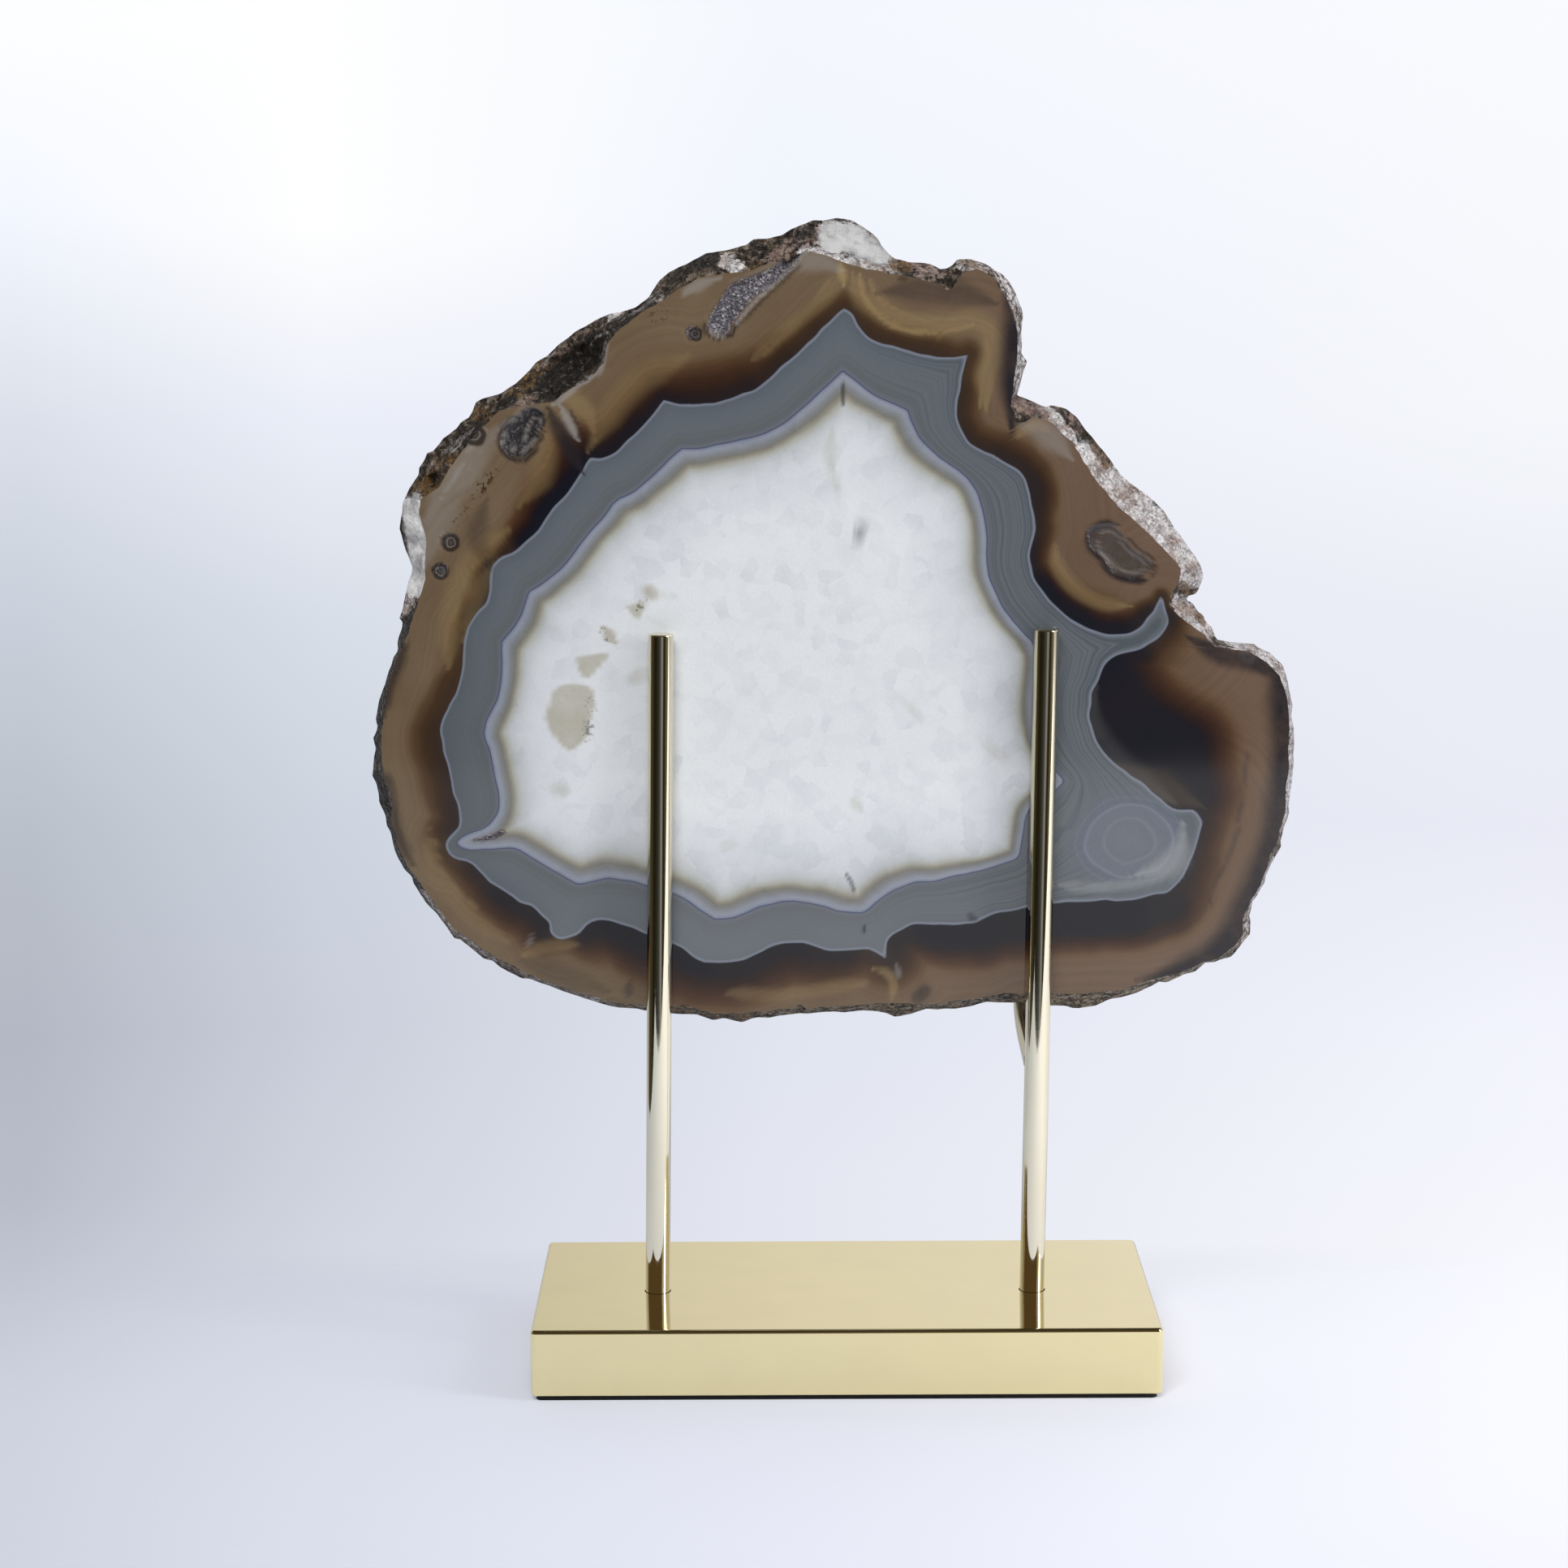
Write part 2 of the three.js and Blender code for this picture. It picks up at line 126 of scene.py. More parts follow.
# Widest outline of the stone, clockwise from the top.
GIRDLE = [
    (-1.8, 369.5), (3, 369), (5.5, 367.2), (9.4, 364.7), (11.4, 362.9), (12.3, 360.8),
    (15.1, 357.9), (16.4, 356.9), (21, 355.8), (25.5, 355.5), (29.5, 354.5), (31, 353.5),
    (33, 353.5), (34.8, 354.6), (36.3, 356.4), (40, 356.8), (43, 355.9), (46, 354.5),
    (50.6, 351.6), (52.4, 349.5), (54.1, 346.9), (56.4, 341.4), (57, 338.9), (56.4, 333),
    (56.7, 327.2), (58.4, 324), (57, 320.2), (56, 316.2), (55.3, 313.8), (57.1, 313.3),
    (62.2, 311), (64.7, 309.8), (66.2, 310.4), (71.3, 309.3), (74.4, 306.7), (78.2, 301.5),
    (80.9, 298.6), (84.6, 293.9), (88.4, 288.6), (91.9, 285.1), (96.9, 281.8), (99.4, 279.8),
    (101.9, 277.2), (105.8, 271.5), (107.5, 269.5), (111, 264.5), (113.7, 260.7), (115.5, 255.5),
    (114.1, 251), (113.2, 249.8), (111, 249.6), (110.2, 248.6), (110.2, 247.7), (111.7, 247.3),
    (114, 244), (115.4, 243.2), (116, 241.6), (118.2, 239.4), (119.3, 236.2), (120.3, 234.9),
    (124.3, 234.2), (126.3, 233.7), (127.6, 234.6), (131.8, 233.9), (133.3, 232.5),
    (137.3, 230.7), (141.3, 226.7), (142.3, 223.7), (144.5, 214.2), (144.1, 211.2),
    (145.1, 206.7), (145.1, 199), (145, 191.7), (144.4, 186.7), (143.6, 181.2), (143.9, 179.2),
    (142.7, 174.7), (141.5, 169.7), (141.8, 167.7), (139.3, 163.5), (136.8, 158.7),
    (136.5, 156.2), (134.3, 152), (132.6, 149.7), (131.7, 145), (132.3, 143.3), (132.3, 138.9),
    (129.7, 136.5), (127.2, 133), (125.7, 131.5), (120.7, 129.7), (117.5, 129.7), (114.5, 126.6),
    (110.2, 125.3), (105.2, 123.1), (102.5, 123.4), (99.7, 121.4), (93.5, 118.7), (87.7, 117.5),
    (84.7, 116.5), (82.1, 115), (77.1, 114), (74.6, 114.1), (72.6, 115), (67.6, 115.1),
    (58.6, 116.1), (50.1, 116.4), (46.6, 116.7), (40.1, 114.9), (37.6, 114.5), (30.5, 114.2),
    (27, 114.5), (24.5, 113.7), (22, 112.5), (16.5, 111.6), (14, 112.9), (9, 114), (0, 113.5),
    (-14, 113.2), (-24.5, 111.7), (-28, 111.8), (-33, 110.3), (-36, 110.6), (-39, 111.5),
    (-42.7, 111.1), (-48, 112.7), (-55.6, 113.1), (-64.6, 114.2), (-67.1, 115), (-73.1, 115.3),
    (-79.6, 116.9), (-85.1, 118.9), (-91.6, 121), (-101.7, 125.1), (-104.7, 125.3),
    (-111.7, 128.8), (-114.2, 131), (-117.2, 131.7), (-124.2, 138.4), (-126.2, 138.7),
    (-130.2, 144.6), (-135.7, 150.9), (-139.2, 157), (-139.7, 159.2), (-142.4, 162.2),
    (-145.2, 167.7), (-146.5, 173.7), (-147.6, 176), (-147.8, 178.7), (-149.9, 184),
    (-150.6, 189.7), (-151.8, 192.2), (-151.2, 198.7), (-150.4, 201.2), (-151.1, 204.7),
    (-149.8, 208.5), (-150.2, 210.8), (-149.2, 216.8), (-146, 225.8), (-144, 230.8),
    (-142.5, 233.1), (-142.7, 235.5), (-140.9, 242.4), (-142.1, 243.1), (-140.2, 249.8),
    (-137.5, 260.2), (-139.7, 265), (-141.7, 272), (-140.5, 277.2), (-140.5, 279.7),
    (-138.1, 284.7), (-134.9, 289.4), (-134.7, 291.2), (-132.4, 295.9), (-130.2, 296.7),
    (-127.2, 300.7), (-122.7, 303.9), (-121.4, 305.7), (-118.9, 307.2), (-116.2, 312.2),
    (-114.4, 313.4), (-108.9, 314.7), (-103.9, 317.7), (-99.4, 322), (-97.9, 324.2),
    (-95.4, 325.7), (-93.7, 326.5), (-90.4, 329.7), (-85.9, 333.2), (-80.7, 336.6),
    (-73.9, 339.7), (-70.4, 340.2), (-64.9, 342.1), (-60.9, 345.3), (-59.9, 347.3),
    (-57.9, 350.3), (-54.3, 353.2), (-49.7, 355.1), (-44.7, 357.7), (-42.9, 358.7),
    (-38.2, 359.2), (-32.2, 360.9), (-30.2, 361.2), (-28.5, 362.9), (-22.1, 363.5),
    (-19.1, 364.1), (-15.9, 366.3), (-10, 368.5), (-5.5, 369),
]

# Rim of the polished front face, clockwise from the top.
FRONT_RIM = [
    (-10, 359.1), (-5, 357.6), (2, 354.9), (10, 353.1), (20, 351.2), (30.2, 349), (30.8, 348),
    (32.8, 346.7), (34.8, 347.3), (36, 350), (37.8, 352.3), (42, 353.3), (47.2, 350.6),
    (50.8, 345.1), (53.5, 338.2), (54.9, 332.2), (54.7, 325.2), (53.7, 317.7), (52.7, 309.7),
    (53.7, 306.8), (54.5, 305.3), (57.8, 305.6), (59.7, 307.3), (65.7, 305.6), (69.7, 301.3),
    (72.2, 299.1), (75.7, 293.3), (79.7, 287.6), (84.6, 281.4), (89.6, 276.6), (97.6, 269.4),
    (101.6, 265.4), (105.5, 260.7), (106.9, 258.8), (106.3, 254), (104.3, 250.9), (103.4, 247.5),
    (104.3, 246.5), (106.3, 244), (109.2, 241.8), (111.9, 239.8), (115, 237.7), (116, 235.6),
    (118.8, 233.4), (126, 232.9), (128, 232.9), (134.3, 229.3), (139.2, 224.6), (141.5, 217.6),
    (142.2, 212.6), (142.6, 207.1), (142, 204.1), (142.4, 200.9), (142.3, 194.7), (141.6, 188.7),
    (141.5, 185.7), (141.8, 183.4), (141.3, 178.5), (139.4, 171.5), (137.2, 166.3),
    (135.6, 161.8), (134.2, 156.8), (131.5, 152.3), (129.1, 147.3), (128.6, 145), (128.9, 140.8),
    (126.3, 136.8), (121, 132.5), (116.6, 131.4), (112.1, 129.5), (108.1, 127.7), (100.6, 126),
    (94.6, 123.7), (89.6, 122.2), (82.6, 121.7), (76, 121), (60, 120.9), (51.8, 121.2),
    (46, 120.1), (38, 119.1), (30, 117.9), (22, 117.8), (15.5, 118.4), (3, 117.4), (-8, 116.9),
    (-12, 116.2), (-14.5, 118.4), (-16, 116.6), (-25, 115.7), (-34, 114.9), (-42, 114.9),
    (-50, 117.2), (-56, 118), (-64.4, 117.6), (-73, 118.4), (-80, 120.4), (-88, 122.9),
    (-95, 125.4), (-102, 128.4), (-106.8, 130.9), (-112, 133.5), (-120.2, 139.4), (-125.7, 143.2),
    (-130, 148.8), (-136.2, 158.3), (-140, 163.1), (-142.6, 169.3), (-145, 178.8),
    (-144.5, 185.2), (-147.2, 194.7), (-148.1, 201.7), (-147.2, 209.6), (-146.2, 218.1),
    (-144.5, 224.6), (-141.7, 232), (-138.7, 239), (-136.7, 245), (-134, 251.5), (-132.6, 257),
    (-132.6, 262.5), (-132, 270), (-134.2, 277.5), (-133.7, 282), (-127.7, 286), (-123.7, 292.5),
    (-119.2, 298.3), (-114.2, 304.3), (-108.2, 309.8), (-97, 312), (-91.3, 312.3), (-86.3, 316.3),
    (-80, 319.3), (-75.3, 324.8), (-73.8, 331.3), (-69.3, 335.8), (-63.3, 340), (-57.8, 343.2),
    (-52.4, 347.1), (-45.9, 350.6), (-37, 352.4), (-29, 353.2), (-23, 355.6), (-17, 355.8),
    (-14, 358.1),
]

# Outer edge of the grey band.
GREY_EDGE = [
    [(0.4, 341), (2.9, 339.2), (4.9, 335.7), (7.9, 332.4), (11.9, 330.5), (17.9, 328.7),
     (23.8, 327.2), (29.8, 325.8), (34.8, 325.7)],
    [(39, 326.5), (37.8, 322.2), (36.8, 317.2), (36.1, 312.3), (36, 307.3), (36.8, 303.8),
     (38.8, 300.3), (40.8, 298.3), (44.8, 296.1), (49.8, 293.6), (53.7, 291.3), (56.7, 288.3),
     (58.7, 284.4), (59.7, 279.4), (60.7, 273.4), (60.7, 270.9), (59.5, 266.4), (59, 261.4),
     (60.2, 257), (62.7, 252.5), (66.7, 248), (70.7, 244.2), (74.7, 241.5), (79.7, 239.1),
     (84.6, 238.1), (89.6, 238.1), (92.6, 239.2), (95.6, 241.7), (98.6, 245.5), (100.4, 248.5)],
    [(101.1, 250), (102.1, 246.5), (103.3, 243.5), (103.3, 241.3), (101.6, 238.5), (98.6, 236),
     (95.1, 233.5), (91.6, 232.8), (87.6, 232), (84.6, 230), (82.6, 227.6), (81.2, 223.6),
     (79.2, 219.6), (78.7, 215.6), (78.7, 210.6), (79.7, 206.6), (80.7, 203.6), (83.6, 199.6),
     (87.6, 195.7), (92.6, 192.2), (97.6, 188.2), (101.6, 184.7), (105.6, 181.7), (109.6, 181.2),
     (112.5, 180.9)],
    [(115.3, 176.9), (113.5, 171.7), (112, 166.8), (110.1, 161.8), (108.1, 157.8), (104.6, 154.8),
     (100.6, 153.6), (95.6, 152.5), (92.6, 152), (84.6, 151.8), (77.7, 151.4), (67.7, 151),
     (59.7, 149.8), (53.7, 148.3), (48.8, 147.6), (44.8, 145.8), (41.8, 144.4), (37.8, 144.1),
     (32.8, 144), (25.8, 144.4), (21.9, 144.3), (18.9, 142.8), (15.9, 140.8), (13.9, 138.4),
     (13.4, 135.4)],
    [(13.4, 133.2), (10.9, 134.8), (7.9, 135.9), (4.9, 135.9), (-0.1, 135.5), (-5.1, 135.5),
     (-8, 136.4), (-11, 137.7), (-15, 138.5), (-20, 138.2), (-24, 136.9), (-28, 134.9),
     (-32, 133.1), (-35.9, 132.1), (-39.9, 131.9)],
    [(-44.9, 131.9), (-49.9, 134.9), (-54.9, 138.2), (-63.9, 141.8), (-67.8, 143.3),
     (-71.8, 144.6), (-75.8, 145.8), (-79.8, 146), (-82.8, 144.6), (-84.8, 142.3), (-86.8, 140.8),
     (-89.8, 139.9), (-92.8, 140.4), (-94.7, 142.3), (-95, 145.1), (-97.7, 147.8),
     (-100.7, 150.6), (-104.7, 152.6), (-108.7, 155.6), (-113.7, 158.6), (-115.7, 160.8),
     (-118.7, 163.8), (-121.7, 165.8), (-124.6, 166.6), (-126.6, 168.1), (-127.6, 170.7),
     (-126.6, 173.2), (-124.6, 175), (-123.1, 176.7), (-123.1, 180.7), (-124.1, 184.7),
     (-125.4, 190.7), (-126.6, 196.7), (-128.1, 201.6), (-128.6, 206.1), (-128.4, 209.6),
     (-126.6, 214.1), (-124.1, 219.1), (-122.1, 224.6), (-120.9, 230.5), (-120.4, 236.5),
     (-119.5, 241), (-116.7, 245), (-113.7, 248.5), (-112, 252.5), (-111.7, 257.4),
     (-111.2, 260.4), (-108.7, 262.9), (-104.7, 264.9), (-101.2, 267.4), (-96.7, 271.9),
     (-93.7, 276.4), (-90.8, 279.9), (-86.8, 283.9), (-83.8, 288.3), (-81.3, 292.8)],
    [(-79.8, 294.5), (-75.8, 294.8), (-71.8, 296.8), (-67.8, 300.3), (-62.9, 305.3),
     (-58.9, 309.8)],
    [(-56.4, 312.6), (-50.9, 311.5), (-44.9, 311.3), (-37.9, 312.6), (-30, 315.2), (-24, 318.7),
     (-18, 324.2), (-12, 329.2), (-6, 335.7), (-2.1, 339.2)],
]
# Fine blue line inside the grey band.
BLUE_LINE = [
    [(-0.1, 322.2), (3.9, 318.7), (8.9, 314.8), (13.9, 312.3), (18.9, 310.1)],
    [(20.4, 309.3), (21.4, 306.3), (23.8, 301.3), (26.8, 297.8), (29.8, 295.1), (33.8, 292.3),
     (36.8, 290.3), (39.8, 287.3), (42.8, 282.4), (44.6, 276.4), (45.4, 270.4), (45.5, 265.4),
     (45.8, 259.4), (47.3, 254), (49.8, 248.5), (52.7, 244), (55.7, 240.5), (58.2, 237.8),
     (60.2, 236), (61.7, 230.5), (61.2, 222.6), (60.7, 213.6), (61.7, 205.6), (64.7, 198.7),
     (68.2, 193.7)],
    [(70.7, 190.7), (67.7, 187.7), (63.2, 184.7), (59.7, 181.7), (58.2, 177.7), (57.7, 173.7)],
    [(56.7, 166.8), (54.7, 165.1), (49.8, 163.3), (44.8, 161.8), (39.8, 160.7), (34.8, 159.6),
     (29.8, 158.3), (25.8, 158), (21.9, 157.6), (17.9, 156.1), (14.9, 154.6), (10.9, 151.6),
     (7.9, 149.1)],
    [(5.9, 148), (1.9, 148.1), (-2.1, 148.5), (-5.1, 149.7), (-8, 150.6), (-12, 151.4),
     (-17, 151.8), (-21, 151.4), (-26, 150.4), (-31, 148.4), (-34.9, 146.8), (-37.9, 146.2)],
    [(-41.4, 145.9), (-44.9, 148), (-49.9, 151.8), (-54.9, 154.5), (-63.9, 157.3), (-67.8, 158.5),
     (-71.8, 159.2), (-75.8, 159.6), (-79.8, 158.8), (-83.8, 158)],
    [(-85.8, 157.8), (-88.8, 159.5), (-93.7, 162.3), (-98.7, 165.5), (-102.7, 168.1),
     (-105.7, 169.6), (-108.7, 169.8), (-113.7, 169.3), (-119.7, 169.1), (-123.6, 170.2),
     (-124.4, 171.7), (-123.1, 173.2), (-119.7, 174.7), (-115.7, 176.2), (-113.2, 178.2),
     (-111.2, 180.7), (-110.4, 183.7), (-110.7, 187.7), (-111.7, 192.7), (-112.5, 197.7),
     (-113.2, 201.6), (-114.7, 205.1)],
    [(-115, 207.1), (-114.2, 210.6), (-112.2, 214.6), (-110.5, 218.1), (-109.5, 222.6),
     (-108.9, 228.5), (-109, 233.5)],
    [(-108.9, 236.5), (-106.2, 239.5), (-104.2, 242), (-102.7, 244.5), (-101.2, 248.5)],
    [(-99.7, 252.5), (-95.7, 255), (-91.8, 257.9), (-87.8, 261.9), (-83.8, 266.9), (-79.8, 271.9),
     (-75.8, 276.4), (-72.8, 280.4)],
    [(-70.8, 282.1), (-65.8, 284.4), (-61.9, 287.8), (-57.9, 291.3), (-54.9, 294.3)],
    [(-50.9, 297.6), (-45.9, 297.7), (-39.9, 298.8), (-34, 300), (-28, 301.3), (-23, 303.3),
     (-17, 306.8), (-11, 311.8), (-5.1, 317.2)],
]

# Smoky edge of the brown band: (x, z), how far the black reaches out from the grey band, over
# how many more mm it fades to tan, and how black it is.
SMOKE = [
    (-121, 230, 1, 6, 0.0), (-124, 218, 2, 8, 0.1), (-128, 205, 2, 10, 0.3),
    (-126, 192, 1, 11, 0.5), (-124, 178, 2, 9, 0.6), (-127, 168, 0, 6, 0.1),
    (-118, 162, 1, 10, 0.7), (-107, 154, 3, 12, 0.9), (-96, 145, 3, 12, 0.9),
    (-90, 140, 0, 4, 0.2), (-84, 143, 3, 12, 0.9), (-76, 146, 5, 15, 1.0),
    (-62, 142, 6, 16, 1.0), (-48, 133, 4, 15, 1.0), (-36, 132, 4, 14, 0.9),
    (-20, 138, 3, 15, 0.95), (0, 136, 2, 13, 0.85), (10, 135, 1, 9, 0.5), (16, 140, 3, 10, 0.8),
    (28, 145, 7, 12, 1.0), (45, 147, 8, 10, 1.0), (70, 151, 10, 10, 1.0), (92, 150, 11, 8, 1.0),
    (104, 148, 8, 9, 0.9), (111, 160, 1, 12, 0.75), (113, 167, 0, 12, 0.7),
    (116, 174, 0, 11, 0.8), (122, 184, 0, 10, 1.0), (100, 200, 0, 12, 1.0),
    (120, 210, 0, 14, 1.0), (110, 224, 0, 14, 1.0), (86, 230, 3, 14, 1.0), (93, 233, 3, 8, 0.9),
    (100, 237, 1, 6, 0.4), (101, 250, 0.5, 3, 0.3), (97, 243, 2, 6, 0.8), (88, 238, 3, 9, 1.0),
    (76, 241, 3, 10, 1.0), (63, 252, 3, 7, 1.0), (59, 262, 1.5, 6, 0.8), (60, 273, 1, 6, 0.65),
    (60, 283, 3, 8, 0.7), (52, 292, 2, 9, 0.6), (40, 299, 1, 9, 0.5), (36, 312, 1, 8, 0.4),
    (39, 325, 0.5, 5, 0.1), (28, 326, 1, 9, 0.3), (10, 332, 1, 8, 0.3), (1, 340, 0.5, 6, 0.2),
    (-8, 333, 1, 8, 0.4), (-20, 322, 1, 11, 0.6), (-32, 315, 1, 15, 0.75),
    (-44, 312, 0, 19, 0.8), (-56, 313, 1, 12, 0.85), (-66, 302, 2, 12, 0.9),
    (-78, 295, 2, 12, 0.9), (-84, 289, 3, 14, 1.0), (-92, 279, 3, 9, 1.0),
    (-100, 269, 2, 9, 1.0), (-108, 264, 0.5, 6, 0.5), (-112, 255, 2, 6, 1.0),
    (-116, 246, 2, 6, 0.9), (-120, 240, 1, 5, 0.3),
]
# The black lens in the right-hand bay: where it is half faded, and over how many mm it fades.
LENS = [(84, 246), (92, 238), (97.5, 231), (102, 222.5), (110.5, 216), (118, 210.5), (121, 204),
        (121, 198), (122, 192), (123.5, 186), (121, 179), (112, 166), (76, 160), (50, 190),
        (52, 230), (70, 250)]
LENS_FADE = 14

# Marks painted on the stone: how strong, half of how wide in mm, and the line that each follows.
GOLDEN_STREAKS = [
    (0.45, 4.6, [(3, 353), (4, 347), (10, 342), (20, 337), (30, 336), (40, 337.5), (46, 334),
                 (47, 327), (45, 318), (45, 308)]),
    (0.75, 1.1, [(4.5, 352), (7, 343.5), (13, 338), (22, 334.3), (33, 334), (42, 336.5)]),
    (0.55, 0.9, [(8, 351), (11, 345), (18, 340), (28, 337.5), (38, 338.5)]),
    (0.5, 1.0, [(43.5, 336), (45.5, 329), (44, 319), (43, 309)]),
    (0.25, 3.0, [(-30, 324), (-16, 336), (-6, 344), (2, 353)]),
    (0.35, 1.0, [(-26, 326), (-14, 337), (-5, 346), (0, 353)]),
    (0.35, 5.0, [(-126, 226), (-124.5, 245), (-121, 257), (-114, 266), (-104, 274)]),
    (0.5, 1.2, [(-124.5, 240), (-122, 252), (-118, 260), (-111, 266)]),
    (0.1, 7.5, [(86, 197), (96, 191.5), (106, 186.5), (116, 182)]),
    (0.3, 4.5, [(-121, 236), (-118, 247), (-114, 256), (-107, 264)]),
    (0.3, 5.0, [(-103, 279), (-96, 288), (-94, 298), (-97, 310)]),
    (0.4, 1.2, [(-98, 287), (-93.6, 294), (-92.4, 301)]),
    (0.45, 4.0, [(-78, 300), (-80, 308), (-86, 314), (-93, 317)]),
    (0.3, 5.5, [(-46, 328), (-64, 319), (-74, 308), (-81, 296)]),
    (0.4, 4.0, [(54, 300), (60, 305), (66, 302)]),
    (0.3, 2.8, [(-106, 133), (-97, 137), (-84, 138)]),
    (0.5, 2.0, [(15, 118), (16, 124), (14, 128), (9, 129.5)]),
    (0.25, 3.6, [(-133, 176), (-132.5, 165), (-128, 156), (-119, 146.5), (-107, 138)]),
    (0.3, 1.0, [(-131.5, 174), (-130, 165), (-125, 156.5), (-118, 149.5)]),
    (0.4, 3.0, [(67, 268), (68, 260), (73, 253), (82, 248), (92, 247)]),
    (0.3, 3.0, [(-40, 122), (-20, 121), (0, 124), (10, 125)]),
    (0.8, 1.4, [(5, 352.6), (7, 344.5), (14, 337), (21, 334.4), (28, 334)]),
    (0.35, 1.2, [(-3, 352), (-9, 343.5), (-17, 335), (-25, 329)]),
    (1.0, 2.2, [(-1.4, 357), (-0.2, 352), (0.6, 347)]),
]
# Dark smears of the stone. Two of them are painted shadows: the ridge's and the left tine's.
DARK_SMEARS_AND_PAINTED_SHADOWS = [
    (1.0, 8.0, [(49, 355), (55, 340), (55, 325), (53.5, 313), (53, 301)]),
    (1.0, 7.6, [(136, 236), (141, 216), (142, 200), (141, 186), (139, 172), (135, 160),
                (130, 149), (125, 139), (117, 131), (106, 127), (94, 125)]),
    (0.9, 4.5, [(108, 238), (121, 231), (132, 228.5), (140, 221)]),
    (0.7, 2.5, [(-147, 197), (-145, 186), (-143, 174), (-138, 163)]),
    (0.8, 3.0, [(-148, 210), (-146, 220), (-142, 230), (-138, 238)]),
    (0.45, 0.9, [(129, 201), (127.5, 186), (126, 173), (120.5, 159), (117, 149), (112.5, 144),
                 (104.6, 141), (95.6, 138)]),
    (0.5, 6.0, [(10, 346), (22, 347), (36, 346), (50, 342)]),
    (0.35, 5.5, [(-108, 134), (-92, 128), (-74, 122)]),
    (0.4, 4.5, [(-111, 258), (-116, 270), (-112, 284)]),
    (0.85, 3.4, [(-81.5, 289), (-86.3, 297.5), (-90, 304.5), (-93.5, 312)]),
    (0.95, 1.7, [(88, 272.6), (83, 273.5), (78.4, 271), (78, 266), (81.5, 262.5), (84.5, 258),
                 (90, 255.6), (98, 255)]),
    (0.7, 0.8, [(89.6, 270), (93, 265.6), (97.6, 262.4), (98.6, 258)]),
    (0.5, 1.0, [(97.5, 262), (99, 259), (97, 255)]),
    # Painted shadow that the ropy ridge along the top pocket casts to its right.
    (0.6, 0.8, [(-32, 336.7), (-27.4, 341.7), (-23.3, 345.7), (-18, 350.4), (-12, 356)]),
    (0.7, 0.6, [(-86.5, 310.5), (-84, 306), (-81.2, 300.5)]),
    (0.9, 1.0, [(-103, 308.8), (-107, 304.8), (-108.6, 300.6), (-107.4, 296.8), (-104.6, 294.6),
                (-101, 294.2), (-98, 296), (-96, 299.8), (-93.9, 303.4)]),
    (0.85, 0.8, [(-43.4, 338.6), (-43.4, 335), (-41.4, 332.8), (-38.2, 332), (-35, 333.2),
                 (-33.6, 336), (-31, 338.4)]),
    (0.8, 3.0, [(24, 120), (26, 122)]),
    # Painted shadow of the left tine, which stands behind the stone, seen through it.
    (0.6, 2.2, [(-70, 119), (-69, 127)]),
    (0.9, 2.0, [(-54, 117), (-50, 116)]),
    (0.9, 0.9, [(6.4, 140.5), (6.4, 144.5)]),
    (0.8, 0.9, [(0.3, 161.5), (2.6, 157.5), (3.5, 153.5)]),
    (0.8, 0.9, [(0, 310), (0, 319)]),
    (0.5, 1.8, [(4.5, 271), (6, 269.5)]),
    (0.7, 1.4, [(40.8, 146.5), (42, 146)]),
    (0.9, 2.2, [(54, 306.5), (58, 307)]),
    (0.8, 1.6, [(105.3, 239.5), (104.6, 243), (103.6, 247)]),
    (0.5, 1.5, [(19, 132), (19, 138)]),
    (0.6, 2.0, [(17, 350.5), (21, 350.5)]),
]
PALE_WISPS = [
    (0.4, 6.0, [(109, 177), (108, 169), (103, 162.5), (92, 160)]),
    (0.3, 2.5, [(68, 157), (80, 156), (96, 157.5), (107, 161.5)]),
    (0.07, 6.0, [(80.5, 222), (79, 212), (81, 204), (88, 196), (98, 188.5), (108, 182.5)]),
    (0.5, 2.0, [(-89.3, 312), (-86.5, 306), (-83.2, 299.5)]),
    (0.25, 1.4, [(-102.3, 136), (-100.3, 142)]),
    (0.25, 1.6, [(16.8, 132), (18.2, 125)]),
    (0.35, 3.0, [(-52, 345), (-45, 349), (-38, 351)]),
    (0.22, 9.0, [(-134, 272), (-122, 289), (-106, 307)]),
    (0.4, 0.9, [(-128, 281), (-122, 290), (-117, 299), (-112.5, 304)]),
    (0.35, 0.7, [(-119, 290), (-114.5, 297), (-111, 301)]),
    (0.2, 6.0, [(-134, 258), (-128, 274), (-118, 290)]),
    (0.25, 6.0, [(54, 306), (64, 302), (73, 293)]),
    (0.25, 4.0, [(-20, 353), (-8, 356), (2, 352)]),
    (0.5, 2.0, [(128, 231), (130, 229.5)]),
]
TAN_STAINS = [
    (0.8, 2.6, [(-77, 242), (-72, 235)]),
    (0.75, 2.8, [(-61.6, 252.6), (-60.6, 251.6)]),
    (0.35, 2.8, [(-3.2, 305), (-4.3, 295), (-2.6, 288)]),
    (0.3, 1.8, [(-2.6, 288), (-1.5, 281)]),
    (0.35, 2.6, [(-67, 224), (-65, 226)]),
    (0.35, 3.0, [(-92, 189), (-90, 188)]),
    (0.3, 2.6, [(1.9, 186), (6.4, 180.7)]),
    (0.25, 2.6, [(-38, 170), (-36, 171)]),
    (0.3, 2.6, [(48, 201), (46, 202)]),
    (0.3, 2.2, [(21.7, 213.6), (22, 212)]),
]
